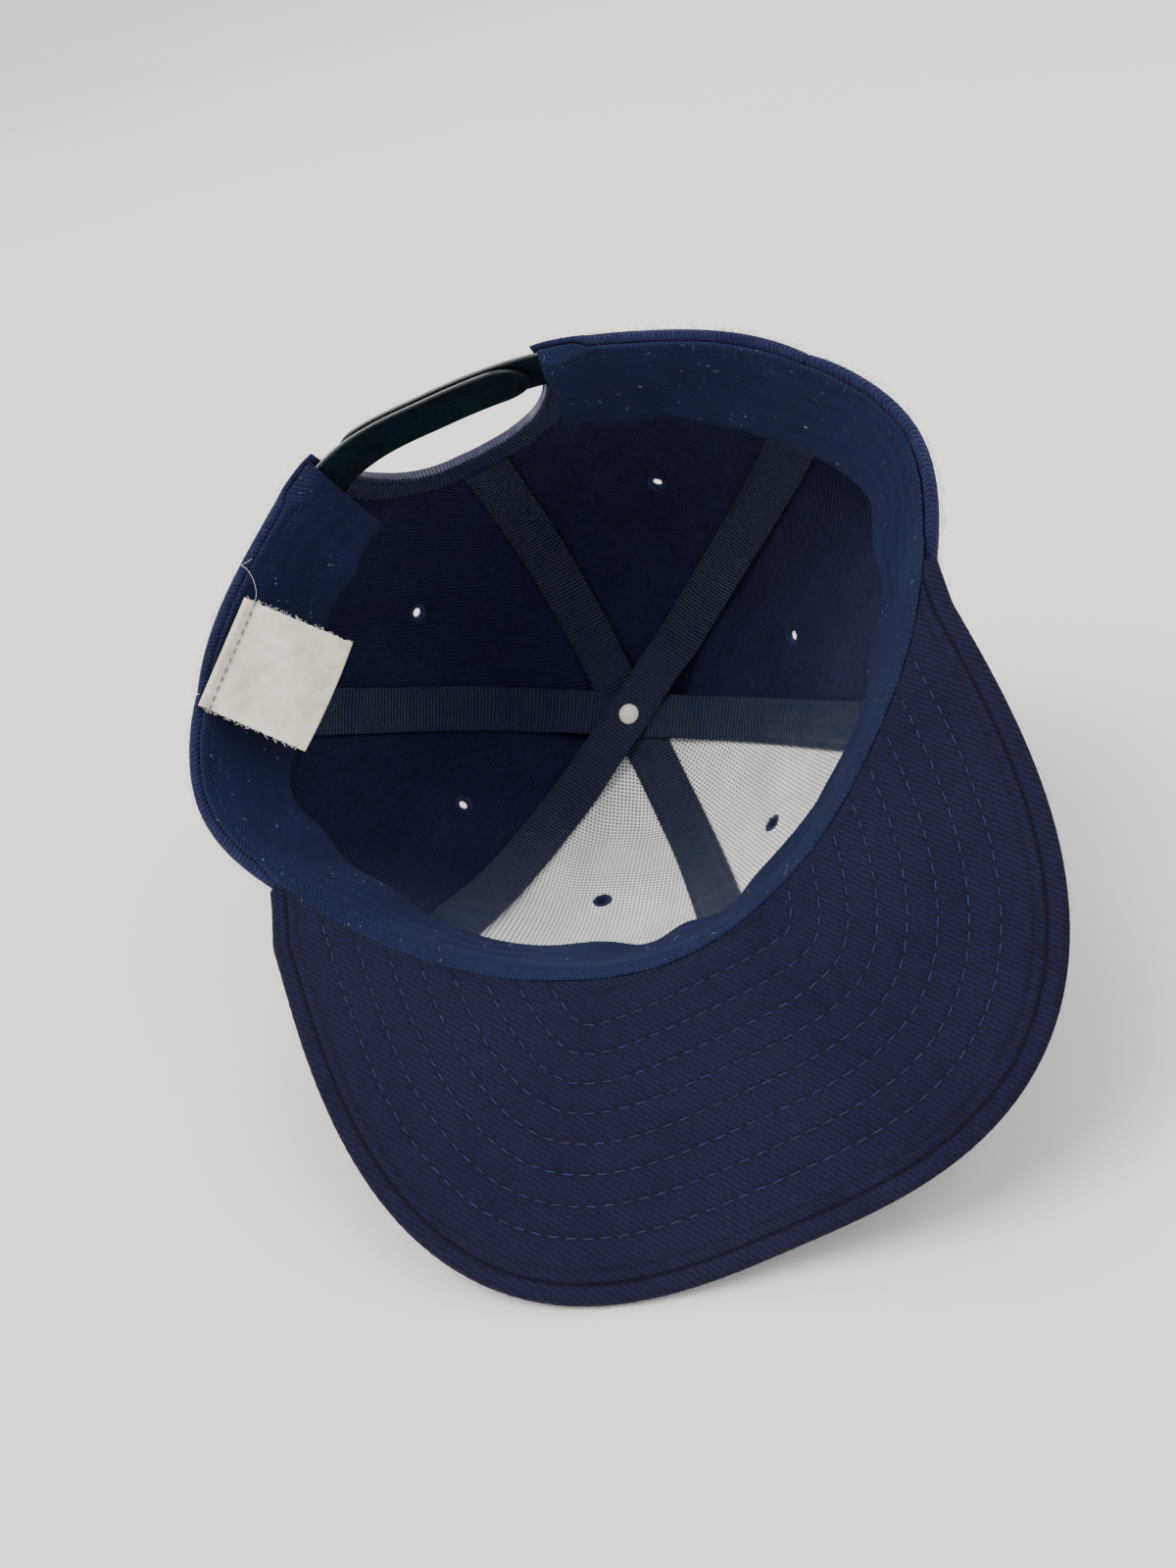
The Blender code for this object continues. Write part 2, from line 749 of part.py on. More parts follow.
def make_strap(name, side, layer, material, collection, carrier):
    """One half of the snap strap, round at its free tip."""
    first, last = strap_azimuths(side)
    middle = STRAP_LOW + 0.5 * STRAP_WIDTH
    length = abs(radians(last - first)) * seam_reach(180.0)
    columns = []
    for k in range(STRAP_COLUMNS + 1):
        share = 1.0 - (1.0 - k / STRAP_COLUMNS) ** 1.25
        azimuth = mix(first, last, share)
        left = length * (1.0 - share)
        half = 0.5 * STRAP_WIDTH
        if left < STRAP_TIP:
            half *= mix(0.35, 1.0, sqrt(1.0 - (1.0 - left / STRAP_TIP) ** 2))
        columns.append([strap_point(azimuth, middle + half * v, strap_depth(layer)) for v in (-1, 0, 1)])
    rows = [[column[j] for column in columns] for j in range(3)]
    if side < 0:
        rows = [row[::-1] for row in rows]
    item = add_object(name, grid_mesh(name, rows), material, collection, carrier)
    thicken(item, STRAP_THICK)
    return item


def strap_point(azimuth, height, depth):
    """Point of the strap, which stands upright along the rim's line."""
    reach = seam_reach(azimuth) + PANEL_THICK + FOLD_THICK - depth
    angle = radians(azimuth)
    lift = rim_height(azimuth) + height
    lean = crown_face(180.0, climb_at(height))
    foot = crown_face(180.0, 0.0)
    inward = (foot.y - lean.y)
    return Vector(((reach - inward) * sin(angle), -(reach - inward) * cos(angle), lift))


def make_rivet(material, collection, carrier, top):
    """Rivet head under the tapes with a shank that reaches into the button."""
    shank = top - RIVET_HEIGHT
    profile = [
        (SHANK_RADIUS, shank),
        (SHANK_RADIUS, 0.0),
        (RIVET_RADIUS, 0.0),
        (RIVET_RADIUS, -0.35 * RIVET_HEIGHT),
        (0.7 * RIVET_RADIUS, -0.85 * RIVET_HEIGHT),
        (0.0, -RIVET_HEIGHT),
    ]
    return turned_piece("rivet", [(0.0, shank)] + profile, material, collection, carrier)


def turned_piece(name, profile, material, collection, carrier):
    """Closed round piece from a profile that runs down its outer side."""
    mesh = bpy.data.meshes.new(name)
    shape = bmesh.new()
    verts = [shape.verts.new((reach, 0.0, height)) for reach, height in profile]
    for a, b in zip(verts, verts[1:]):
        shape.edges.new((a, b))
    if profile[0][0] > 0.0:
        shape.edges.new((verts[-1], verts[0]))
    shape.to_mesh(mesh)
    shape.free()
    item = add_object(name, mesh, material, collection, carrier)
    turn = item.modifiers.new("turn", "SCREW")
    turn.steps = TURNED_STEPS
    turn.render_steps = TURNED_STEPS
    turn.use_merge_vertices = True
    turn.merge_threshold = 0.00001
    turn.use_smooth_shade = True
    return item


def laid_normal(azimuth, climb):
    """Outward direction of the crown's face as it lies."""
    east = crown_point(azimuth + 1.0, climb, 0.0) - crown_point(azimuth - 1.0, climb, 0.0)
    north = crown_point(azimuth, climb + 0.01, 0.0) - crown_point(azimuth, climb - 0.01, 0.0)
    return east.cross(north).normalized()


def make_eyelet(name, azimuth, climb, depth, material, collection, carrier):
    """Stitched ring set in a hole through the crown, rounded on both faces."""
    half = 0.5 * depth - EYELET_SINK
    ring = 0.5 * (EYELET_HOLE_RADIUS + EYELET_RADIUS)
    profile = [
        (ring, half),
        (EYELET_RADIUS, 0.6 * half),
        (EYELET_RADIUS, -0.6 * half),
        (ring, -half),
        (EYELET_HOLE_RADIUS, -0.6 * half),
        (EYELET_HOLE_RADIUS, 0.6 * half),
    ]
    item = turned_piece(name, profile, material, collection, carrier)
    normal = laid_normal(azimuth, climb)
    item.location = crown_point(azimuth, climb, 0.0) - normal * (0.5 * depth)
    item.rotation_mode = "QUATERNION"
    item.rotation_quaternion = normal.to_track_quat("Z", "Y")
    return item


def make_label(material, collection, carrier):
    """Folded label whose seam edge is sewn to the rim and whose body hangs over the band."""
    half = degrees(0.5 * LABEL_LENGTH / seam_reach(LABEL_AZIMUTH))
    left = crown_point(LABEL_AZIMUTH - half, 0.0, 0.0)
    right = crown_point(LABEL_AZIMUTH + half, 0.0, 0.0)
    up = Vector((0.0, 0.0, 1.0))
    along = Matrix.Rotation(radians(LABEL_TURN), 3, up) @ (right - left).normalized()
    inward = up.cross(along).normalized()
    low = min(rim_height(LABEL_AZIMUTH + half * k / 4.0) for k in range(-4, 5))
    middle = crown_point(LABEL_AZIMUTH, 0.0, LABEL_IN)
    center = Vector((middle.x, middle.y, low - CLOTH_GAP - LABEL_THICK))
    rows = []
    for i in range(LABEL_STEPS + 1):
        far = LABEL_DEPTH * i / LABEL_STEPS
        rise = LABEL_RISE * smooth((far / LABEL_DEPTH - 0.2) / 1.3)
        row = []
        for k in range(LABEL_STEPS + 1):
            aside = LABEL_LENGTH * (k / LABEL_STEPS - 0.5)
            curl = 0.04 * LABEL_LENGTH * (2.0 * aside / LABEL_LENGTH) ** 2 * (far / LABEL_DEPTH) ** 2
            row.append(center + along * aside + inward * far + up * (rise - curl))
        rows.append(row[::-1])
    item = add_object("label", grid_mesh("label", rows), material, collection, carrier)
    thicken(item, LABEL_THICK)
    return item


def build():
    clear_scene()
    cap = new_collection("snapback_cap")
    cutters = new_collection("cutters")
    carrier = bpy.data.objects.new("cap_carrier", None)
    cap.objects.link(carrier)

    wool = new_material("wool_navy", (0.0137, 0.0144, 0.0497), 0.95)
    twill = new_material("twill_navy", (0.0123, 0.0300, 0.0953), 0.9)
    tape = new_material("tape_navy", (0.0044, 0.0080, 0.0200), 0.6)
    buckram = new_material("buckram_white", (0.58, 0.62, 0.61), 0.9)
    plastic = new_material("strap_plastic", (0.0020, 0.0050, 0.0080), 0.3)
    satin = new_material("label_satin", (0.68, 0.68, 0.62), 0.6)
    metal = new_material("rivet_painted", (0.70, 0.70, 0.58), 0.4)
    thread = new_material("eyelet_thread", (0.0110, 0.0120, 0.0380), 0.8)

    shank = add_rod("shank_hole", SHANK_RADIUS + GAP, SHANK_REACH, button_place(), Vector((0, 0, 1)),
                    cutters, carrier)

    panels = [
        make_panel("panel_front_left", FRONT_SEAM, SIDE_SEAM, 0, wool, cap, carrier),
        make_panel("panel_front_right", mirrored(SIDE_SEAM), FRONT_SEAM, 0, wool, cap, carrier),
        make_panel("panel_side_left", SIDE_SEAM, REAR_SEAM, 0, wool, cap, carrier),
        make_panel("panel_side_right", mirrored(REAR_SEAM), mirrored(SIDE_SEAM), 0, wool, cap, carrier),
        make_panel("panel_back_left", REAR_SEAM, BACK_SEAM, 1, wool, cap, carrier),
        make_panel("panel_back_right", mirrored(BACK_SEAM), mirrored(REAR_SEAM), -1, wool, cap, carrier),
    ]
    backings = [
        make_buckram("buckram_left", FRONT_SEAM, SIDE_SEAM, buckram, cap, carrier),
        make_buckram("buckram_right", mirrored(SIDE_SEAM), FRONT_SEAM, buckram, cap, carrier),
    ]

    on_wool = PANEL_THICK + CLOTH_GAP
    on_buckram = on_wool + BUCKRAM_THICK + CLOTH_GAP
    back_foot = ARCH_HEIGHT + BINDING_WIDTH + 2.0 * CLOTH_GAP
    make_tape("tape_front_back", FRONT_SEAM, TAPE_FOOT, on_buckram, BACK_SEAM, back_foot, on_wool,
              0, shank, tape, cap, carrier)
    make_tape("tape_right_left", mirrored(SIDE_SEAM), TAPE_FOOT, on_buckram, REAR_SEAM, TAPE_FOOT,
              on_wool, 1, shank, tape, cap, carrier)
    make_tape("tape_left_right", SIDE_SEAM, TAPE_FOOT, on_buckram, mirrored(REAR_SEAM), TAPE_FOOT,
              on_wool, 2, shank, tape, cap, carrier)

    make_sweatband(twill, cap, carrier)
    make_brim(wool, cap, carrier)
    make_binding(tape, cap, carrier)

    fronts = {panels[0]: backings[0], panels[1]: backings[1]}
    for (name, azimuth, climb), panel in zip(EYELET_ROWS, panels):
        depth = PANEL_THICK + (BUCKRAM_THICK + CLOTH_GAP if panel in fronts else 0.0)
        hole = add_rod(f"{name}_hole", EYELET_RADIUS + CLOTH_GAP, EYELET_REACH,
                       crown_point(azimuth, climb, 0.5 * depth), laid_normal(azimuth, climb),
                       cutters, carrier)
        boolean(panel, hole, "DIFFERENCE")
        if panel in fronts:
            boolean(fronts[panel], hole, "DIFFERENCE")
        make_eyelet(name, azimuth, climb, depth, thread, cap, carrier)

    pegs = make_strap("strap_pegs", 1, 1, plastic, cap, carrier)
    holes = make_strap("strap_holes", -1, 0, plastic, cap, carrier)
    for k in range(PEG_COUNT):
        swing = degrees(PEG_PITCH / seam_reach(180.0)) * (k - 0.5 * (PEG_COUNT - 1))
        place, out = peg_place(180.0 + swing)
        hole = add_rod(f"strap_hole_{k}", PEG_RADIUS + GAP, HOLE_REACH, place, out, cutters, carrier)
        boolean(holes, hole, "DIFFERENCE")
        length = 0.5 * STRAP_THICK + GAP + STRAP_THICK + PEG_STAND
        stud = add_rod(f"strap_peg_{k}", PEG_RADIUS, length,
                       place + out * (0.5 * length - 0.5 * STRAP_THICK - GAP - 0.5 * STRAP_THICK),
                       out, cutters, carrier)
        boolean(pegs, stud, "UNION")

    button_and_rivet(wool, metal, cap, carrier)
    make_label(satin, cap, carrier)
    lay_down(carrier, cap)


def button_place():
    return crown_face(0.0, 1.0)


def peg_place(azimuth):
    """Middle of the outer strap half at an azimuth, and the way out of it."""
    height = STRAP_LOW + 0.5 * STRAP_WIDTH
    depth = strap_depth(0) + 0.5 * STRAP_THICK
    place = strap_point(azimuth, height, depth)
    side = strap_point(azimuth + 1.0, height, depth) - strap_point(azimuth - 1.0, height, depth)
    rise = strap_point(azimuth, height + 0.004, depth) - strap_point(azimuth, height - 0.004, depth)
    return place, side.cross(rise).normalized()


def button_and_rivet(cloth, metal, collection, carrier):
    """Covered button on the crown and the rivet under the tapes."""
    top = button_place()
    foot = GAP
    hollow = 0.45 * BUTTON_HEIGHT
    profile = [
        (0.0, foot + BUTTON_HEIGHT),
        (0.45 * BUTTON_RADIUS, foot + 0.93 * BUTTON_HEIGHT),
        (0.8 * BUTTON_RADIUS, foot + 0.68 * BUTTON_HEIGHT),
        (BUTTON_RADIUS, foot + 0.25 * BUTTON_HEIGHT),
        (0.97 * BUTTON_RADIUS, foot),
        (0.55 * BUTTON_RADIUS, foot),
        (SHANK_RADIUS + GAP, foot),
        (SHANK_RADIUS + GAP, foot + hollow),
        (0.0, foot + hollow),
    ]
    button = turned_piece("button", profile, cloth, collection, carrier)
    button.location = top
    stack = PANEL_THICK + BUCKRAM_THICK + 2.0 * CLOTH_GAP + 3.0 * TAPE_THICK + 2.0 * CLOTH_GAP
    under = stack + GAP
    rivet = make_rivet(metal, collection, carrier, under + RIVET_HEIGHT + foot + hollow - GAP)
    rivet.location = top - Vector((0.0, 0.0, under))


def lay_down(carrier, collection):
    """Turn the cap over onto the floor, with the middle of its box above the origin."""
    ahead = Vector((0.0, 0.0, 1.0))
    ahead = (ahead - DOWN * ahead.dot(DOWN)).normalized()
    aside = ahead.cross(-DOWN)
    basis = Matrix((aside, ahead, -DOWN))
    spin = Matrix.Rotation(radians(REST_YAW), 3, "Z")
    carrier.matrix_world = (spin @ basis).to_4x4()
    bpy.context.view_layer.update()
    scene = bpy.context.evaluated_depsgraph_get()
    corners = []
    for item in collection.objects:
        if item.type == "MESH":
            shown = item.evaluated_get(scene)
            corners += [shown.matrix_world @ vert.co for vert in shown.data.vertices]
    middle = [0.5 * (min(c[k] for c in corners) + max(c[k] for c in corners)) for k in (0, 1)]
    carrier.location = (-middle[0], -middle[1], FLOOR_REACH)


build()
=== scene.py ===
"""Looks of a navy wool snapback cap that lies upside down on a pale floor.

The cap's shape is worked out in its own upright frame, as in its construction: X to the wearer's
left, Y to the back, Z up through the button. An azimuth runs from the front towards the wearer's
left, a climb from 0 at the rim to 1 at the button, and a depth inwards from the crown's outer
face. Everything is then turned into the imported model's frame. Lengths are metres; maps on the
pieces are in millimetres.
"""

from math import asin, cos, degrees, pi, radians, sin

import bmesh
import bpy
import numpy as np
from mathutils import Matrix, Vector


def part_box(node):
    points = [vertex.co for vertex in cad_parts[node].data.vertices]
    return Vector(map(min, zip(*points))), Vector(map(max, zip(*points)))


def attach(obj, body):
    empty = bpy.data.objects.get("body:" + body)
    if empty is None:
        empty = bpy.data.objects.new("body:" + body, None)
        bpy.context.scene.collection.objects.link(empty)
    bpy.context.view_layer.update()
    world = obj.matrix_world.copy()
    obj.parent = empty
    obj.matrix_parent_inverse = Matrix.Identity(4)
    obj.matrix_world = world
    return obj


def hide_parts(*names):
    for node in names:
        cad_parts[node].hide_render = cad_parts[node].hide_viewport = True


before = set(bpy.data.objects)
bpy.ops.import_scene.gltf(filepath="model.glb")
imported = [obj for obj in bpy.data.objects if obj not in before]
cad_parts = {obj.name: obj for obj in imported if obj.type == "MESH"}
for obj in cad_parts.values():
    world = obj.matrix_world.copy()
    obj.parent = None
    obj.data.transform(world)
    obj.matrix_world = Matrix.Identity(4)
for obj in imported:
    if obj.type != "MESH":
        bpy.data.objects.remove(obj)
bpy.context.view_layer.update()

# Crown, as in the construction
GAP = 0.0003
CLOTH_GAP = 0.0007
RIM_RADIUS = 0.091
CROWN_HEIGHT = 0.119
CROWN_ROUND = 0.97
CROWN_FLARE = 0.0015
CROWN_POWER = 2.2
BUTTON_FORWARD = 0.008
BACK_RISE = 0.004
PANEL_THICK = 0.0016
FOLD_THICK = 0.0020
FOLD_HEIGHT = 0.009
FOLD_FADE = 0.004
BUCKRAM_THICK = 0.0009
TAPE_THICK = 0.0009
RIM_ROWS = np.array([
    # azimuth, left, right
    (0.0, 1.000, 1.000),
    (22.5, 0.965, 0.995),
    (45.0, 0.960, 1.000),
    (67.5, 1.000, 1.065),
    (90.0, 1.100, 1.155),
    (112.5, 0.995, 1.020),
    (135.0, 0.895, 0.875),
    (157.5, 0.860, 0.805),
    (180.0, 0.795, 0.795),
])
DENT_ROWS = [
    # azimuth, climb, half width in degrees, half width in climb, depth
    (49.0, 0.30, 9.0, 0.13, 0.035),
    (36.0, 0.22, 8.0, 0.10, -0.014),
    (93.0, 0.30, 14.0, 0.22, 0.030),
    (-93.0, 0.34, 15.0, 0.24, 0.035),
    (140.0, 0.36, 16.0, 0.20, 0.022),
    (-150.0, 0.42, 14.0, 0.18, 0.020),
    (-38.0, 0.30, 12.0, 0.16, 0.012),
]
FRONT_SEAM = (-5.0, -2.0)
SIDE_SEAM = (50.0, 60.0)
REAR_SEAM = (108.0, 120.0)
BACK_SEAM = (180.0, 180.0)
TAPE_WIDTH = 0.0155
TAPE_FOOT = 0.016
STACK_RADIUS = 0.017
STACK_FADE = 0.016
BAND_WIDTH = 0.0285
BAND_THICK = 0.0012
BAND_LEAN_ROWS = np.array([
    # azimuth, left, right
    (0.0, 0.20, 0.20),
    (22.5, 0.20, 0.21),
    (45.0, 0.21, 0.22),
    (67.5, 0.24, 0.24),
    (90.0, 0.42, 0.30),
    (112.5, 0.52, 0.34),
    (135.0, 0.50, 0.32),
    (157.5, 0.42, 0.30),
    (180.0, 0.40, 0.30),
])

# Brim, arch, strap, label, button and eyelets, as in the construction
BRIM_LENGTH = 0.0688
BRIM_HALF_WIDTH = 0.0953
BRIM_WIDEST = 0.044
BRIM_LEAD = 0.06
BRIM_POWER = 2.84
BRIM_THICK = 0.0034
BRIM_ROOT_SHARE = 0.951
BRIM_MEET = 0.015
BRIM_MEET_EASE = 0.030
BRIM_SLOPE = 0.30
BRIM_ARCH_RADIUS = 0.345
BRIM_LEVEL_AT = 0.085
BRIM_EASE = 0.020
ARCH_HALF_WIDTH = 0.034
ARCH_HEIGHT = 0.0485
ARCH_POWER = 2.3
BINDING_WIDTH = 0.008
BINDING_THICK = 0.0009
STRAP_WIDTH = 0.0195
STRAP_THICK = 0.0011
STRAP_LOW = 0.0010
STRAP_TUCK = 0.011
STRAP_SHORT = 0.004
PEG_COUNT = 7
PEG_PITCH = 0.0082
PEG_RADIUS = 0.0018
PEG_STAND = 0.0007
BUTTON_RADIUS = 0.0085
BUTTON_HEIGHT = 0.0048
RIVET_RADIUS = 0.0034
RIVET_HEIGHT = 0.0013
EYELET_HOLE_RADIUS = 0.0013
EYELET_RADIUS = 0.0036
EYELET_ROWS = [
    # name, azimuth, climb, 1 where the buckram backs it
    ("eyelet_front_left", 26.0, 0.47, 1),
    ("eyelet_front_right", -26.0, 0.47, 1),
    ("eyelet_side_left", 83.0, 0.55, 0),
    ("eyelet_side_right", -83.0, 0.55, 0),
    ("eyelet_back_left", 140.0, 0.43, 0),
    ("eyelet_back_right", -140.0, 0.43, 0),
]
LABEL_AZIMUTH = 115.5
LABEL_LENGTH = 0.0315
LABEL_DEPTH = 0.0325
LABEL_THICK = 0.0008
LABEL_RISE = 0.0065
LABEL_IN = 0.0068
LABEL_TURN = 8.0
REST_AZIMUTH = 20.0
REST_GIVE = 0.003
REST_SOFT = 0.0015
REST_YAW = -15.0

# Stitching: the brim's rows, and the pitch, length and thread radius of every seam's stitches
BRIM_STITCH_ROWS = 8
BRIM_FIRST_ROW = 0.0140
BRIM_ROW_PITCH = 0.0067
STITCH_ASIDE = 0.0062
BAND_STITCH_AT = 0.0030
QUILT_THREAD = 0.00010
QUILT_STITCH = (0.0041, 0.0031, QUILT_THREAD)
TOP_STITCH = (0.0033, 0.0026, 0.00013)
TAPE_STITCH = (0.0030, 0.0024, 0.00014)
BAND_STITCH = (0.0032, 0.0025, 0.00013)
LABEL_STITCH = (0.0027, 0.0020, 0.00017)
EYELET_STITCH = (0.00042, 0.0021, 0.00019)

# The photograph's camera, in the cap's frame: its focal length, its turn and where it stands
PHOTO_HEIGHT = 1600
FOCAL_PIXELS = 1445.0
SENSOR_HEIGHT = 36.0
CAMERA_TURN = (0.2849, 0.1809, 2.6695)
CAMERA_SHIFT = (-0.0151, -0.0392, 0.3625)


def smooth(value):
    share = np.clip(value, 0.0, 1.0)
    return share * share * (3.0 - 2.0 * share)


def mix(first, second, share):
    return first + (second - first) * share


def turned(azimuth):
    return (np.asarray(azimuth, float) + 180.0) % 360.0 - 180.0


def from_table(rows, azimuth):
    """Smooth value of a table with a left and a right column at an azimuth."""
    step = rows[1, 0] - rows[0, 0]
    ring = np.concatenate([rows[:, 1], rows[-2:0:-1, 2]])
    place = (np.asarray(azimuth, float) % 360.0) / step
    i = np.floor(place).astype(int)
    t = place - i
    a, b, c, d = (ring[(i + k) % len(ring)] for k in (-1, 0, 1, 2))
    return b + 0.5 * t * (c - a + t * (2 * a - 5 * b + 4 * c - d + t * (3 * (b - c) + d - a)))


def points(x, y, z):
    return np.stack(np.broadcast_arrays(x, y, z), -1)


def unit(vectors):
    return vectors / np.maximum(np.linalg.norm(vectors, axis=-1, keepdims=True), 1e-12)


def run_along(rows):
    """Distance along each column of a grid of points, from its first row."""
    steps = np.linalg.norm(np.diff(rows, axis=0), axis=-1)
    return np.concatenate([np.zeros((1, rows.shape[1])), np.cumsum(steps, 0)])


def narrowed(low, high, rounds, holds):
    """Place where a test stops holding between two bounds, found by halving them."""
    for _ in range(rounds):
        middle = 0.5 * (low + high)
        held = holds(middle)
        low = np.where(held, middle, low)
        high = np.where(held, high, middle)
    return 0.5 * (low + high)


def seam_reach(azimuth):
    return RIM_RADIUS * from_table(RIM_ROWS, azimuth)


ARCH_EDGE = 180.0 - degrees(asin(ARCH_HALF_WIDTH / (float(seam_reach(160.0)) + PANEL_THICK)))


def tuck_share(azimuth):
    tuck = degrees(STRAP_TUCK / RIM_RADIUS)
    return smooth((np.abs(turned(azimuth)) - ARCH_EDGE + 1.6 * tuck) / (0.5 * tuck))


def fold_depth(azimuth):
    return FOLD_THICK * (1.0 - tuck_share(azimuth))


def band_depth(azimuth):
    straps = 2.0 * (STRAP_THICK + GAP)
    return PANEL_THICK + mix(FOLD_THICK, straps, tuck_share(azimuth)) + CLOTH_GAP


def brim_top(x, y):
    arch = (BRIM_LEVEL_AT ** 2 - x * x) / (2.0 * BRIM_ARCH_RADIUS)
    return arch - BRIM_SLOPE * (-BRIM_WIDEST - y)


def rim_height(azimuth):
    reach = seam_reach(azimuth)
    x = reach * np.sin(np.radians(azimuth))
    y = -reach * np.cos(np.radians(azimuth))
    on_brim = smooth((BRIM_MEET - BRIM_WIDEST - y) / BRIM_MEET_EASE)
    behind = BACK_RISE * np.clip((y + BRIM_WIDEST) / (RIM_RADIUS + BRIM_WIDEST), 0.0, 1.0)
    return mix(behind, brim_top(x, y) + GAP, on_brim)


def crown_face(azimuth, climb):
    """Points of the crown's outer face before it gives way to the floor."""
    azimuth = np.asarray(azimuth, float)
    climb = np.asarray(climb, float)
    angle = np.clip(climb, 0.0, 1.0) * pi / 2.0
    across = np.maximum(np.cos(angle), 0.0) ** (2.0 / CROWN_POWER)
    up = np.sin(angle) ** (2.0 / CROWN_POWER)
    rim = seam_reach(azimuth) + PANEL_THICK + FOLD_THICK
    flare = CROWN_FLARE * np.sin(pi * np.minimum(up / 0.7, 1.0))
    reach = mix(rim, CROWN_ROUND * RIM_RADIUS, smooth(up)) + flare
    for middle, height, wide, tall, depth in DENT_ROWS:
        off = turned(azimuth - middle) / wide
        rise = (climb - height) / tall
        reach = reach - RIM_RADIUS * depth * np.exp(-off * off - rise * rise)
    x = reach * across * np.sin(np.radians(azimuth))
    y = -reach * across * np.cos(np.radians(azimuth)) - BUTTON_FORWARD * up
    return points(x, y, mix(rim_height(azimuth), CROWN_HEIGHT, up))


def crown_normal(azimuth, climb):
    low = np.clip(climb, 0.004, 0.985)
    azimuth = np.asarray(azimuth, float)
    east = crown_face(azimuth + 0.5, low) - crown_face(azimuth - 0.5, low)
    north = crown_face(azimuth, low + 0.004) - crown_face(azimuth, low - 0.004)
    return unit(np.cross(east, north))


def climb_at(height):
    share = np.clip(np.asarray(height, float) / CROWN_HEIGHT, 0.0, 1.0)
    return np.arcsin(share ** (CROWN_POWER / 2.0)) * 2.0 / pi


def height_at(climb):
    return CROWN_HEIGHT * np.sin(np.asarray(climb) * pi / 2.0) ** (2.0 / CROWN_POWER)


def reach_at(azimuth, climb):
    """Distance of the crown's face from the button's axis."""
    face = crown_face(azimuth, climb)
    return np.hypot(face[..., 0], face[..., 1] + BUTTON_FORWARD * height_at(climb) / CROWN_HEIGHT)


def climb_of_reach(azimuth, reach):
    azimuth, reach = np.broadcast_arrays(np.asarray(azimuth, float), np.asarray(reach, float))
    low = np.zeros(azimuth.shape)
    return narrowed(low, low + 1.0, 26, lambda climb: reach_at(azimuth, climb) > reach)


def over_brim(azimuth):
    """Whether the rim at an azimuth on either side is still over the brim."""
    reach = 0.5 * (seam_reach(azimuth) + seam_reach(-azimuth))
    return reach * np.sin(np.radians(azimuth)) < BRIM_ROOT_SHARE * BRIM_HALF_WIDTH


BRIM_ROOT_AZIMUTH = float(narrowed(0.0, 90.0, 40, over_brim))


def brim_outline(share):
    """Points of the brim's outer edge in plan, from the left root at 0 to the right root at 1."""
    share = np.asarray(share, float)
    side = np.where(share < 0.5, 1.0, -1.0)
    angle = radians(BRIM_ROOT_AZIMUTH)
    reach = seam_reach(side * BRIM_ROOT_AZIMUTH) + PANEL_THICK + FOLD_THICK + GAP
    root = np.stack([side * reach * sin(angle), -reach * cos(angle)], -1)
    lead = np.stack([side * BRIM_HALF_WIDTH, np.full(side.shape, -BRIM_WIDEST)], -1)
    along = np.where(side > 0, share, 1.0 - share)
    turn = np.clip((along - BRIM_LEAD) / (0.5 - BRIM_LEAD), 0.0, 1.0) * pi / 2.0
    power = 2.0 / BRIM_POWER
    front = float(seam_reach(0.0)) + BRIM_LENGTH - BRIM_WIDEST
    x = side * BRIM_HALF_WIDTH * np.maximum(np.cos(turn), 0.0) ** power
    curve = np.stack([x, -BRIM_WIDEST - front * np.sin(turn) ** power], -1)
    start = mix(root, lead, np.clip(along / BRIM_LEAD, 0.0, 1.0)[..., None])
    return np.where((along < BRIM_LEAD)[..., None], start, curve)


def even_path(path, count):
    """Resample a path at even distances."""
    run = run_along(path[:, None])[:, 0]
    want = np.linspace(0.0, run[-1], count)
    return np.stack([np.interp(want, run, path[:, k]) for k in range(path.shape[1])], -1)


def brim_root_depth():
    return PANEL_THICK + FOLD_THICK - BRIM_THICK * BRIM_SLOPE


def brim_height(x, y):
    """Height of the brim's upper face, eased to the rim along its root."""
    azimuth = np.degrees(np.arctan2(x, -y))
    face = crown_face(azimuth, 0.0)
    root = np.hypot(face[..., 0], face[..., 1]) - brim_root_depth()
    ahead = np.hypot(x, y) - root
    scale = root / np.hypot(face[..., 0], face[..., 1])
    fit = rim_height(azimuth) - GAP - brim_top(face[..., 0] * scale, face[..., 1] * scale)
    return brim_top(x, y) + fit * np.clip(1.0 - ahead / BRIM_EASE, 0.0, 1.0) ** 2


def floor_direction(tilt):
    side = radians(REST_AZIMUTH)
    lean = radians(tilt)
    return np.array([sin(side) * cos(lean), -cos(side) * cos(lean), sin(lean)])


def lying_tilt():
    """Angle of the floor where both the brim's edge and the crown touch it, and its distance."""
    plan = even_path(brim_outline(np.linspace(0.0, 1.0, 601)), 41)
    top = points(plan[:, 0], plan[:, 1], brim_height(plan[:, 0], plan[:, 1]))
    edge = np.concatenate([top, top - [0.0, 0.0, BRIM_THICK]])
    spread, climbs = np.meshgrid(REST_AZIMUTH + np.arange(-60, 61, 4), np.arange(51) * 0.02)
    crown = crown_face(spread, climbs).reshape(-1, 3)

    def edge_first(tilt):
        down = floor_direction(tilt)
        return (edge @ down).max() > (crown @ down).max() - REST_GIVE

    tilt = float(narrowed(5.0, 80.0, 30, edge_first))
    return tilt, (edge @ floor_direction(tilt)).max()


FLOOR_TILT, FLOOR_REACH = lying_tilt()
DOWN = floor_direction(FLOOR_TILT)


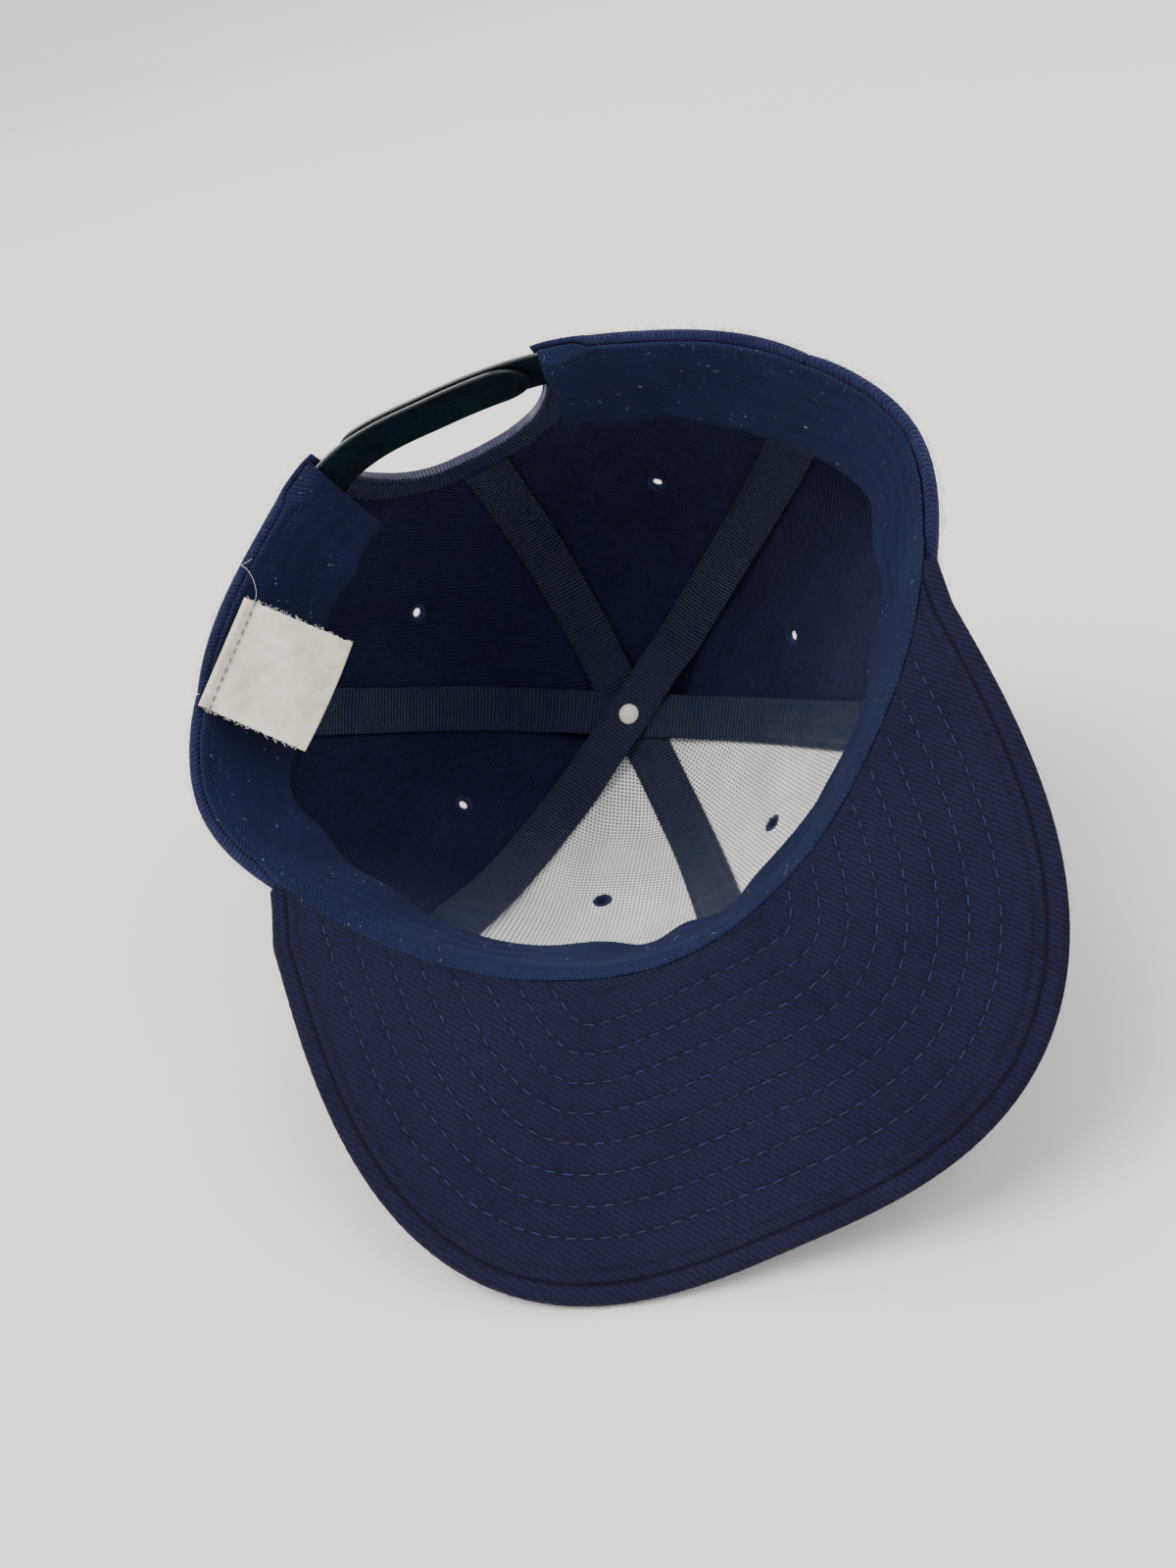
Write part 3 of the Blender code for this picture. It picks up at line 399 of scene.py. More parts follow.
def give_way(guide):
    """How far the floor pushes back the cloth whose outer face is at a point."""
    height = FLOOR_REACH - guide @ DOWN
    soft = (height + REST_SOFT) ** 2 / (4.0 * REST_SOFT)
    raised = np.where(height > -REST_SOFT, soft, 0.0)
    push = np.where(height >= REST_SOFT, 0.0, height - raised)
    return push[..., None] * DOWN


def slack(azimuth, climb):
    """Small waves that the cloth takes up, the same in all its layers."""
    a = np.radians(azimuth)
    fade = smooth(climb / 0.12) * smooth((0.93 - climb) / 0.15)
    wave = 0.00035 * np.sin(7.0 * a + 9.0 * climb + 0.6) * np.sin(11.0 * climb + 2.0 * a)
    wave = wave + 0.00018 * np.sin(17.0 * a - 14.0 * climb + 2.0)
    return wave * fade


def crown_point(azimuth, climb, depth):
    """Points at a depth behind the crown's outer face, as the cap lies."""
    azimuth, climb, depth = np.broadcast_arrays(
        np.asarray(azimuth, float), np.asarray(climb, float), np.asarray(depth, float)
    )
    face = crown_face(azimuth, climb)
    inward = depth + np.abs(slack(azimuth, climb))
    return face - crown_normal(azimuth, climb) * inward[..., None] + give_way(face)


def laid_face(azimuth, climb):
    """Points of the crown's outer face as the cap lies, without its small waves."""
    face = crown_face(azimuth, climb)
    return face + give_way(face)


def eyelet_place(azimuth, climb, backed):
    """Middle of an eyelet, the way out through it and the depth of its cloth."""
    depth = PANEL_THICK + (BUCKRAM_THICK + CLOTH_GAP if backed else 0.0)
    east = laid_face(azimuth + 1.0, climb) - laid_face(azimuth - 1.0, climb)
    north = laid_face(azimuth, climb + 0.01) - laid_face(azimuth, climb - 0.01)
    normal = unit(np.cross(east, north))
    return laid_face(azimuth, climb) - normal * 0.5 * depth, normal, depth


def frame_basis():
    """Rotation from the cap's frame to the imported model's."""
    ahead = np.array([0.0, 0.0, 1.0])
    ahead = unit(ahead - DOWN * ahead.dot(DOWN))
    aside = np.cross(ahead, -DOWN)
    spin = np.array(Matrix.Rotation(radians(REST_YAW), 3, "Z"))
    return spin @ np.array([aside, ahead, -DOWN])


BASIS = frame_basis()
GUIDE_NAME, GUIDE_AZIMUTH, GUIDE_CLIMB, GUIDE_BACKED = EYELET_ROWS[3]
GUIDE_BOX = np.array(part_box(GUIDE_NAME))
SHIFT = GUIDE_BOX.mean(0) - BASIS @ eyelet_place(GUIDE_AZIMUTH, GUIDE_CLIMB, GUIDE_BACKED)[0]


def to_frame(cap_points):
    return cap_points @ BASIS.T + SHIFT


# Setting up pieces

def linear(code):
    """Linear colour of an sRGB hex code."""
    parts = [int(code[k:k + 2], 16) / 255.0 for k in (1, 3, 5)]
    bent = [part / 12.92 if part <= 0.04045 else ((part + 0.055) / 1.055) ** 2.4 for part in parts]
    return (*bent, 1.0)


def feed(node, inputs):
    """Link the inputs that are given as sockets and set the others; a hex code is a colour."""
    for key, value in inputs.items():
        if isinstance(value, bpy.types.NodeSocket):
            node.id_data.links.new(value, node.inputs[key])
        elif isinstance(value, str) and value.startswith("#"):
            node.inputs[key].default_value = linear(value)
        else:
            node.inputs[key].default_value = value


def add_node(tree, kind, inputs, output=0, stops=(), **settings):
    """Add a node with its settings, its inputs and a ramp's stops, and give one of its outputs."""
    node = tree.nodes.new(kind)
    for name, value in settings.items():
        setattr(node, name, value)
    feed(node, inputs)
    if stops:
        line = node.color_ramp.elements
        while len(line) < len(stops):
            line.new(0.5)
        for step, (place, tone) in zip(line, stops):
            step.position = place
            step.color = linear(tone) if isinstance(tone, str) else (tone, tone, tone, 1.0)
    return node.outputs[output] if node.outputs else None


def show(name, mesh):
    item = bpy.data.objects.new(name, mesh)
    bpy.context.scene.collection.objects.link(item)
    return item


def dress(item, slot, *nodes):
    """Let a finished piece ride on the cap and stand for its solids."""
    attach(item, "root")
    if nodes:
        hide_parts(*nodes)
    return item


def point_outward(mesh):
    shape = bmesh.new()
    shape.from_mesh(mesh)
    bmesh.ops.recalc_face_normals(shape, faces=shape.faces)
    shape.to_mesh(mesh)
    shape.free()


def finish_mesh(name, verts, faces, flat, material, values=None, sharp=50.0):
    """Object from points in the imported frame, a map in metres and numbers kept at its points."""
    mesh = bpy.data.meshes.new(name)
    mesh.from_pydata(verts.tolist(), [], faces)
    layer = mesh.uv_layers.new(name="cloth_map")
    corner = np.empty(len(mesh.loops), np.int32)
    mesh.loops.foreach_get("vertex_index", corner)
    layer.data.foreach_set("uv", (1000.0 * flat[corner]).ravel())
    for key, numbers in (values or {}).items():
        kept = mesh.attributes.new(key, "FLOAT", "POINT")
        kept.data.foreach_set("value", np.asarray(numbers, np.float32).ravel())
    point_outward(mesh)
    mesh.materials.append(material)
    mesh.shade_smooth()
    mesh.set_sharp_from_angle(angle=radians(sharp))
    return show(name, mesh)


def shell(name, face, back, across, along, material, values=None):
    """Closed piece of cloth from the grids of its face and back, in the cap's frame."""
    rows, columns = face.shape[:2]
    count = rows * columns
    index = np.arange(count).reshape(rows, columns)
    quads = np.stack([index[:-1, :-1], index[:-1, 1:], index[1:, 1:], index[1:, :-1]], -1)
    quads = quads.reshape(-1, 4)
    rim = np.concatenate([index[0, :-1], index[:-1, -1], index[-1, :0:-1], index[:0:-1, 0]])
    after = np.roll(rim, -1)
    edge = np.stack([rim, rim + count, after + count, after], -1)
    faces = np.concatenate([quads, quads[:, ::-1] + count, edge])
    verts = to_frame(np.concatenate([face.reshape(-1, 3), back.reshape(-1, 3)]))
    flat = np.stack([across.ravel(), along.ravel()], -1)
    kept = {key: np.tile(np.ravel(numbers), 2) for key, numbers in (values or {}).items()}
    return finish_mesh(name, verts, faces.tolist(), np.tile(flat, (2, 1)), material, kept)


def across_lines(width, count, bevel):
    """Places across a width, closer together where its two edges are rounded."""
    width = np.asarray(width, float)[..., None]
    bevel = np.minimum(bevel, 0.3 * width)
    near = bevel * np.array([0.0, 0.12, 0.45])
    inner = bevel + (width - 2.0 * bevel) * np.linspace(0.0, 1.0, count)
    return np.concatenate([near, inner, width - near[..., ::-1]], -1)


def rounded(distance, bevel):
    """How far a face falls back towards a rounded edge."""
    share = 1.0 - np.clip(distance / bevel, 0.0, 1.0)
    return bevel * (1.0 - np.sqrt(1.0 - 0.97 * share ** 2))


def sides_of(axis):
    """Two directions square to an axis and to each other."""
    side = unit(np.cross(axis, [0.31, 0.17, 0.93]))
    return side, np.cross(axis, side)


def turned_mesh(name, profile, steps, place, axis, material):
    """Closed round piece from a profile of reach and height that starts and ends on its axis."""
    axis = unit(np.asarray(axis, float))
    side, other = sides_of(axis)
    verts = [place + axis * profile[0][1]]
    for reach, height in profile[1:-1]:
        for k in range(steps):
            turn = 2.0 * pi * k / steps
            verts.append(place + axis * height + (side * cos(turn) + other * sin(turn)) * reach)
    verts.append(place + axis * profile[-1][1])
    faces = []
    rings = len(profile) - 2
    for k in range(steps):
        after = (k + 1) % steps
        faces.append((0, 1 + k, 1 + after))
        for j in range(rings - 1):
            low = 1 + j * steps
            faces.append((low + k, low + steps + k, low + steps + after, low + after))
        faces.append((len(verts) - 1, len(verts) - 1 - steps + after, len(verts) - 1 - steps + k))
    verts = np.array(verts)
    flat = np.stack([(verts - place) @ side, (verts - place) @ other], -1)
    return finish_mesh(name, to_frame(verts), faces, flat, material, sharp=60.0)


# Things that repeat: stitches along a line and loose fibres over a surface

ABOVE_FLOOR = 0.00003


def new_tree(name, inputs):
    tree = bpy.data.node_groups.new(name, "GeometryNodeTree")
    tree.interface.new_socket("Geometry", in_out="INPUT", socket_type="NodeSocketGeometry")
    for label, kind in inputs:
        tree.interface.new_socket(label, in_out="INPUT", socket_type=kind)
    tree.interface.new_socket("Geometry", in_out="OUTPUT", socket_type="NodeSocketGeometry")
    return tree, tree.nodes.new("NodeGroupInput").outputs


def finish_tree(tree, places, thing, turn, angle, size, material):
    """Put a thing at every place, turned about its own upright axis, in one material."""
    twist = add_node(tree, "FunctionNodeAxisAngleToRotation", {"Axis": (0.0, 0.0, 1.0), "Angle": angle})
    facing = add_node(
        tree, "FunctionNodeRotateRotation", {"Rotation": turn, "Rotate By": twist}, rotation_space="LOCAL"
    )
    put = add_node(
        tree, "GeometryNodeInstanceOnPoints",
        {"Points": places, "Instance": thing, "Rotation": facing, "Scale": size}
    )
    real = add_node(tree, "GeometryNodeRealizeInstances", {"Geometry": put})
    soft = add_node(tree, "GeometryNodeSetShadeSmooth", {"Geometry": real})
    made = add_node(tree, "GeometryNodeSetMaterial", {"Geometry": soft, "Material": material})
    add_node(tree, "NodeGroupOutput", {"Geometry": made})
    return tree


def stitch_tree():
    """Beads of thread along the edges of a mesh, laid flat on the surface below them."""
    tree, given = new_tree("stitch_row", [
        ("Pitch", "NodeSocketFloat"),
        ("Length", "NodeSocketFloat"),
        ("Radius", "NodeSocketFloat"),
        ("Turn", "NodeSocketFloat"),
        ("Scatter", "NodeSocketFloat"),
        ("Thread", "NodeSocketMaterial"),
    ])
    line = add_node(tree, "GeometryNodeMeshToCurve", {"Mesh": given["Geometry"]})
    steps = add_node(
        tree, "GeometryNodeResampleCurve", {"Curve": line, "Length": given["Pitch"]}, mode="LENGTH"
    )
    along = add_node(tree, "GeometryNodeInputTangent", {})
    above = add_node(
        tree, "GeometryNodeInputNamedAttribute", {"Name": "surface_up"}, data_type="FLOAT_VECTOR"
    )
    laid = add_node(tree, "FunctionNodeAlignRotationToVector", {"Vector": along}, axis="X")
    flat = add_node(
        tree, "FunctionNodeAlignRotationToVector", {"Rotation": laid, "Vector": above},
        axis="Z", pivot_axis="X"
    )
    less = add_node(tree, "ShaderNodeMath", {0: given["Scatter"], 1: -1.0}, operation="MULTIPLY")
    chance = add_node(
        tree, "FunctionNodeRandomValue", {2: less, 3: given["Scatter"], "Seed": 11}, 1,
        data_type="FLOAT"
    )
    swing = add_node(tree, "ShaderNodeMath", {0: given["Turn"], 1: chance}, operation="ADD")
    half = add_node(tree, "ShaderNodeMath", {0: given["Length"], 1: 0.5}, operation="MULTIPLY")
    wide = add_node(tree, "ShaderNodeMath", {0: given["Radius"], 1: 1.3}, operation="MULTIPLY")
    size = add_node(tree, "ShaderNodeCombineXYZ", {"X": half, "Y": wide, "Z": given["Radius"]})
    bead = add_node(tree, "GeometryNodeMeshUVSphere", {"Segments": 6, "Rings": 4, "Radius": 1.0})
    return finish_tree(tree, steps, bead, flat, swing, size, given["Thread"])


def fibre_tree():
    """Bent fibres that stand loosely on a surface, closer together where nap is high."""
    tree, given = new_tree("loose_fibres", [
        ("Density", "NodeSocketFloat"),
        ("Length", "NodeSocketFloat"),
        ("Radius", "NodeSocketFloat"),
        ("Seed", "NodeSocketInt"),
        ("Fibre", "NodeSocketMaterial"),
    ])
    nap = add_node(tree, "GeometryNodeInputNamedAttribute", {"Name": "nap"}, data_type="FLOAT")
    crowd = add_node(tree, "ShaderNodeMath", {0: given["Density"], 1: nap}, operation="MULTIPLY")
    roots = add_node(
        tree, "GeometryNodeDistributePointsOnFaces",
        {"Mesh": given["Geometry"], "Density": crowd, "Seed": given["Seed"]},
        distribute_method="RANDOM"
    )
    spin = add_node(
        tree, "FunctionNodeRandomValue", {3: 2.0 * pi, "Seed": given["Seed"]}, 1, data_type="FLOAT"
    )
    stretch = add_node(
        tree, "FunctionNodeRandomValue",
        {0: (0.5, 0.5, 0.25), 1: (1.5, 1.5, 1.25), "Seed": given["Seed"]}, data_type="FLOAT_VECTOR"
    )
    size = add_node(
        tree, "ShaderNodeVectorMath", {0: stretch, "Scale": given["Length"]}, operation="SCALE"
    )
    bend = add_node(
        tree, "GeometryNodeCurveQuadraticBezier",
        {"Resolution": 3, "Start": (0.0, 0.0, -0.05), "Middle": (0.1, 0.25, 0.75), "End": (0.95, 0.1, 0.45)}
    )
    share = add_node(
        tree, "ShaderNodeMath", {0: given["Radius"], 1: given["Length"]}, operation="DIVIDE"
    )
    ring = add_node(tree, "GeometryNodeCurvePrimitiveCircle", {"Resolution": 3, "Radius": share})
    hair = add_node(tree, "GeometryNodeCurveToMesh", {"Curve": bend, "Profile Curve": ring})
    return finish_tree(tree, roots, hair, roots.node.outputs["Rotation"], spin, size, given["Fibre"])


STITCHES = stitch_tree()
FIBRES = fibre_tree()


def plain_mesh(item):
    """Mesh of a piece with its modifiers applied."""
    bpy.context.view_layer.update()
    scene = bpy.context.evaluated_depsgraph_get()
    return bpy.data.meshes.new_from_object(item.evaluated_get(scene), depsgraph=scene)


def cut_out(item, profile, places, sides, sharp):
    """Cut round holes through a piece, each given by its middle and its axis."""
    material = item.data.materials[0]
    cutters = [
        turned_mesh(f"cutter_{k}", profile, sides, place, axis, material)
        for k, (place, axis) in enumerate(places)
    ]
    join_into(cutters[0], cutters[1:])
    cut = item.modifiers.new("holes", "BOOLEAN")
    cut.operation = "DIFFERENCE"
    cut.object = cutters[0]
    cut.solver = "EXACT"
    item.data = plain_mesh(item)
    item.modifiers.clear()
    item.data.set_sharp_from_angle(angle=radians(sharp))
    bpy.data.objects.remove(cutters[0], do_unlink=True)


def join_into(item, others):
    """Add other pieces' meshes to a piece and delete those pieces."""
    shape = bmesh.new()
    shape.from_mesh(item.data)
    for other in others:
        shape.from_mesh(other.data)
        bpy.data.objects.remove(other, do_unlink=True)
    shape.to_mesh(item.data)
    shape.free()


def grow(name, mesh, tree, sizes):
    """Plain mesh that a tree makes from a mesh with its named inputs set."""
    item = show(name, mesh)
    step = item.modifiers.new("grown", "NODES")
    step.node_group = tree
    sockets = {socket.name: socket.identifier for socket in tree.interface.items_tree
               if socket.in_out == "INPUT"}
    for label, value in sizes.items():
        step[sockets[label]] = value
    item.update_tag()
    made = plain_mesh(item)
    item.modifiers.clear()
    item.data = made
    made.name = name
    place = np.empty(3 * len(made.vertices))
    made.vertices.foreach_get("co", place)
    place[2::3] = np.maximum(place[2::3], ABOVE_FLOOR)
    made.vertices.foreach_set("co", place)
    return item


def stitch_lines(name, lines, thread, stitch, turn=0.0, scatter=0.07, closed=False):
    """Stitches along lines, each a pair of points and upward directions in the cap's frame."""
    verts, edges, ups = [], [], []
    for path, above in lines:
        start = len(verts)
        verts += to_frame(path).tolist()
        ups.append(above @ BASIS.T)
        edges += [(start + k, start + k + 1) for k in range(len(path) - 1)]
        if closed:
            edges.append((start + len(path) - 1, start))
    mesh = bpy.data.meshes.new(name)
    mesh.from_pydata(verts, edges, [])
    kept = mesh.attributes.new("surface_up", "FLOAT_VECTOR", "POINT")
    kept.data.foreach_set("vector", np.concatenate(ups).astype(np.float32).ravel())
    pitch, length, radius = stitch
    return grow(name, mesh, STITCHES, {
        "Pitch": pitch, "Length": length, "Radius": radius, "Turn": turn, "Scatter": scatter,
        "Thread": thread,
    })


# Pieces of the crown

PANEL_COLUMNS = 34
PANEL_ROWS = 70
SEAM_BEVEL = 0.0007
SEAM_PINCH = 0.00035
SEAM_SOFT = 0.0026
TOP_HOLE_RADIUS = 0.0030
# Thicker nap along the rim: more fibres there, and the crown's colour is painted lighter with it as a sheen
RIM_NAP_AND_SHEEN = 6.0
BUCKRAM_INSET = 0.0035
BUCKRAM_FOOT = 0.015
BUCKRAM_COLUMNS = 40
BUCKRAM_ROWS = 60
BUCKRAM_BEVEL = 0.0004
EYELET_CUT = EYELET_RADIUS - 0.0006
CUT_REACH = 0.006
HOLE_SIDES = 28


def seam_azimuth(seam, climb):
    return mix(seam[0], seam[1], smooth(climb))


def mirrored(seam):
    return (-seam[0], -seam[1])


def half_gap_angle(azimuth, climb, gap):
    reach = np.maximum(reach_at(azimuth, climb), 0.5 * TOP_HOLE_RADIUS)
    return np.degrees(0.5 * gap / reach)


def arch_half_angle(height):
    """Half the azimuth that the arch spans at heights above the rim."""
    share = np.clip(height / ARCH_HEIGHT, 0.0, 1.0)
    half = ARCH_HALF_WIDTH * (1.0 - share ** ARCH_POWER) ** (1.0 / ARCH_POWER)
    low = np.zeros(np.shape(height))
    climb = climb_at(height)
    angle = narrowed(low, low + 60.0, 26, lambda side: crown_face(180.0 - side, climb)[..., 0] < half)
    return np.where(height < ARCH_HEIGHT, angle, 0.0)


def panel_climbs(has_arch):
    top = float(climb_of_reach(0.0, TOP_HOLE_RADIUS))
    fold = climb_at(np.array([0.0, 0.00005, 0.0003, 0.0008, 0.0016, 0.0026]))
    if not has_arch:
        return np.concatenate([fold, np.linspace(climb_at(0.0040), top, PANEL_ROWS - 6)])
    round_arch = ARCH_HEIGHT * np.sin(np.linspace(0.0, pi / 2.0, 40)) ** (2.0 / ARCH_POWER)
    beside = climb_at(round_arch[round_arch > 0.0034])
    return np.concatenate([fold, beside, np.linspace(beside[-1], top, 40)[1:]])


def between_seams(first, last, climbs, gap, columns, bevel, arch_side=0):
    """Grid of azimuths and climbs from seam to seam, with distances to its edge and from its middle."""
    start = seam_azimuth(first, climbs)
    end = seam_azimuth(last, climbs)
    start = start + half_gap_angle(start, climbs, gap)
    end = end - half_gap_angle(end, climbs, gap)
    if arch_side > 0:
        end = end - arch_half_angle(height_at(climbs))
    if arch_side < 0:
        start = start + arch_half_angle(height_at(climbs))
    width = np.radians(end - start) * reach_at(0.5 * (start + end), climbs)
    places = across_lines(width, columns, bevel)
    azimuth = start[:, None] + (end - start)[:, None] * places / width[:, None]
    climb = np.broadcast_to(climbs[:, None], azimuth.shape)
    beside = np.minimum(places, width[:, None] - places)
    across = np.radians(turned(azimuth - 0.5 * (first[0] + last[0]))) * reach_at(azimuth, climb)
    return azimuth, climb, beside, across


def make_panel(name, first, last, arch_side, material):
    """One panel of the crown, pinched at its seams and turned under along the rim."""
    climbs = panel_climbs(arch_side != 0)
    azimuth, climb, beside, across = between_seams(
        first, last, climbs, 0.4 * CLOTH_GAP, PANEL_COLUMNS, SEAM_BEVEL, arch_side
    )
    low = height_at(climb)
    fold = (1.0 - smooth((low - FOLD_HEIGHT) / FOLD_FADE)) * fold_depth(azimuth)
    thick = PANEL_THICK + fold
    roll = rounded(low, 0.5 * thick)
    fall = np.maximum(rounded(beside, SEAM_BEVEL), roll)
    pinch = SEAM_PINCH * np.exp(-(beside / SEAM_SOFT) ** 2)
    gather = 0.00012 * np.sin(low * 1300.0) * np.exp(-(beside / 0.005) ** 2)
    ridge = 0.00030 * np.exp(-((low - 0.0105) / 0.0012) ** 2)
    fuller = smooth(beside / 0.004)
    face = crown_point(azimuth, climb, fall + pinch + gather * fuller + ridge * fuller)
    back = crown_point(azimuth, climb, thick - fall)
    # nap sets the fibres' density and also lightens the colour along the rim as painted sheen
    nap = 1.0 + RIM_NAP_AND_SHEEN * np.exp(-(low / 0.007) ** 2)
    return shell(name, face, back, across, run_along(face), material, {"nap": nap})


def open_eyelets(item, first, last):
    """Cut the eyelets that lie between a piece's two seams out of it."""
    profile = [(0.0, -CUT_REACH), (EYELET_CUT, -CUT_REACH), (EYELET_CUT, CUT_REACH), (0.0, CUT_REACH)]
    places = [
        eyelet_place(azimuth, climb, backed)[:2]
        for _, azimuth, climb, backed in EYELET_ROWS
        if first[0] < azimuth < last[0] or first[0] < azimuth + 360.0 < last[0]
    ]
    if places:
        cut_out(item, profile, places, HOLE_SIDES, 50.0)


def make_buckram(name, first, last, material):
    """Open-weave backing that follows a front panel."""
    climbs = np.linspace(climb_at(BUCKRAM_FOOT), float(climb_of_reach(0.0, 0.7 * STACK_RADIUS)), BUCKRAM_ROWS)
    azimuth, climb, beside, across = between_seams(
        first, last, climbs, 2.0 * BUCKRAM_INSET, BUCKRAM_COLUMNS, BUCKRAM_BEVEL
    )
    fall = rounded(beside, BUCKRAM_BEVEL)
    depth = PANEL_THICK + CLOTH_GAP
    face = crown_point(azimuth, climb, depth + fall)
    back = crown_point(azimuth, climb, depth + BUCKRAM_THICK - fall)
    return shell(name, face, back, across, run_along(back), material)


TAPE_HALF_ROWS = 84
TAPE_COLUMNS = 18
TAPE_BEVEL = 0.0004
TAPE_SWELL = 0.00050


def tape_place(seam, climb, aside, depth):
    """Points of a tape at a distance aside from its seam's line."""
    azimuth = seam_azimuth(seam, climb)
    reach = reach_at(azimuth, climb)
    round_top = smooth((climb - 0.42) / 0.16)
    swing = np.degrees(mix(aside / np.maximum(reach, 0.02), np.arctan2(aside, reach), round_top))
    polar = climb_of_reach(azimuth + swing, np.hypot(reach, aside))
    return crown_point(azimuth + swing, mix(climb, polar, round_top), depth)


def tape_depth(seam, climb, base, layer):
    lining = PANEL_THICK + BUCKRAM_THICK + 2.0 * CLOTH_GAP
    stack = lining + layer * (TAPE_THICK + CLOTH_GAP)
    share = 1.0 - smooth((reach_at(seam_azimuth(seam, climb), climb) - STACK_RADIUS) / STACK_FADE)
    return mix(base, stack, share)


def tape_relief(aside, run, phase):
    """How far a tape stands in over the seam's turnings, with the puckers of its sewing."""
    swell = TAPE_SWELL * smooth((STITCH_ASIDE - np.abs(aside)) / 0.0018)
    groove = 0.0002 * np.exp(-(aside / 0.0007) ** 2)
    edge = smooth((0.0078 - np.abs(aside)) / 0.003)
    pucker = np.sin(run * 540.0 + phase + 0.8 * np.sin(run * 91.0 + phase))
    waves = np.sin(run * 210.0 + 2.0 * phase) + 0.6 * np.sin(run * 330.0 + phase + aside * 300.0)
    return swell - groove + edge * (0.00013 * pucker + 0.00019 * waves)


def make_tape(name, halves, layer, phase, material):
    """Tape that runs up one seam, over the middle and down the seam across from it."""
    asides = across_lines(TAPE_WIDTH, TAPE_COLUMNS, TAPE_BEVEL) - 0.5 * TAPE_WIDTH
    fall = rounded(0.5 * TAPE_WIDTH - np.abs(asides), TAPE_BEVEL)[None, :]
    faces, backs = [], []
    for seam, foot, base, sign in halves:
        climbs = mix(float(climb_at(foot)), 1.0, np.linspace(0.0, 0.992, TAPE_HALF_ROWS))[:, None]
        aside = sign * asides[None, :]
        depth = tape_depth(seam, climbs, base, layer)
        spine = crown_point(seam_azimuth(seam, climbs), climbs, base)
        run = run_along(spine)
        relief = tape_relief(aside, sign * (run[-1:] - run) + phase, phase)
        faces.append(tape_place(seam, climbs, aside, depth + fall))
        backs.append(tape_place(seam, climbs, aside, depth + TAPE_THICK - fall + relief))
    face = np.concatenate([faces[0], faces[1][::-1]])
    back = np.concatenate([backs[0], backs[1][::-1]])
    across = np.broadcast_to(asides[None, :], face.shape[:2])
    run = run_along(face)
    along = np.broadcast_to(run[:, run.shape[1] // 2, None], face.shape[:2])
    return shell(name, face, back, across, along, material)


BAND_COLUMNS = 340
BAND_ROWS = 22
BAND_BEVEL = 0.00055
BAND_FLARE = 0.0018
BAND_EDGE_FLARE = 0.0007
BAND_LIP = 0.0024


def brim_share(azimuth):
    return 1.0 - smooth((np.abs(turned(azimuth)) - BRIM_ROOT_AZIMUTH + 2.0) / 8.0)


def band_point(azimuth, across, depth):
    """Points of the sweatband at a distance from its sewn edge."""
    lean = from_table(BAND_LEAN_ROWS, azimuth)
    height = across * np.sqrt(1.0 - lean * lean)
    flare = mix(BAND_EDGE_FLARE, BAND_FLARE, brim_share(azimuth)) * np.exp(-(across / 0.003) ** 2)
    lip = BAND_LIP * tuck_share(azimuth) * (1.0 - smooth((across - 0.0002) / 0.0008))
    inward = band_depth(azimuth) + across * lean + depth - flare - lip
    place = crown_point(azimuth, climb_at(height), inward)
    drop = (BRIM_THICK + GAP) * brim_share(azimuth) * (1.0 - across / BAND_WIDTH)
    return place - drop[..., None] * np.array([0.0, 0.0, 1.0])


def band_relief(azimuth, across):
    """Ripples of the sweatband: small gathers along its seam and softer waves at its free edge."""
    a = np.radians(azimuth)
    free = smooth(across / BAND_WIDTH)
    gathers = np.sin(88.0 * a + 3.0 * np.sin(7.0 * a)) * np.sin(53.0 * a + 1.0)
    waves = np.sin(13.0 * a + 2.0 * np.sin(5.0 * a) + 60.0 * across)
    creases = np.sin(across * 1000.0 + 2.2 * np.sin(6.0 * a) + 1.5 * np.sin(11.0 * a))
    patches = smooth(0.5 + 0.9 * np.sin(9.0 * a + 1.7) * np.sin(4.0 * a))
    seam = 0.00022 * gathers * np.exp(-across / 0.006)
    crease = 0.00030 * creases * patches * smooth(across / 0.004) * smooth((BAND_WIDTH - across) / 0.006)
    hem = 0.00055 * np.exp(-((across - 0.0034) / 0.0005) ** 2)
    return seam + crease + 0.0010 * waves * free - hem


def make_sweatband(material):
    """Twill band sewn to the rim and turned up inside the crown."""
    end = ARCH_EDGE - 0.5
    azimuth = np.linspace(-end, end, BAND_COLUMNS)[None, :]
    across = across_lines(BAND_WIDTH, BAND_ROWS, BAND_BEVEL)[:, None]
    azimuth, across = np.broadcast_arrays(azimuth, across)
    ends = np.radians(end - np.abs(azimuth)) * RIM_RADIUS
    fall = np.maximum(
        rounded(np.minimum(across, BAND_WIDTH - across), BAND_BEVEL), rounded(ends, 1.2 * BAND_BEVEL)
    )
    relief = band_relief(azimuth, across)
    face = band_point(azimuth, across, fall + 0.7 * relief)
    back = band_point(azimuth, across, BAND_THICK - fall + relief)
    flat = np.broadcast_to(run_along(face[0][:, None])[:, 0], across.shape)
    return shell("sweatband_cloth", face, back, flat, across, material, {"nap": 1.0 + 0.0 * across})


# Brim

BRIM_COLUMNS = 250
BRIM_ROWS = 74
BRIM_OUTLINE = even_path(brim_outline(np.linspace(0.0, 1.0, 2401)), 1601)
EDGE_GROOVE_AT = 0.0046
EDGE_GROOVE_DEEP = 0.00050
EDGE_GROOVE_WIDE = 0.00055
QUILT_DEEP = 0.00017
QUILT_WIDE = 0.0010
EDGE_NAP = 4.0


def edge_distance(plan):
    """Distance in plan from the brim's outer edge."""
    flat = plan.reshape(-1, 2)
    near = np.empty(len(flat))
    for start in range(0, len(flat), 2000):
        part = flat[start:start + 2000]
        gaps = part[:, None, :] - BRIM_OUTLINE[None, :, :]
        near[start:start + 2000] = np.sqrt((gaps ** 2).sum(-1).min(-1))
    return near.reshape(plan.shape[:-1])


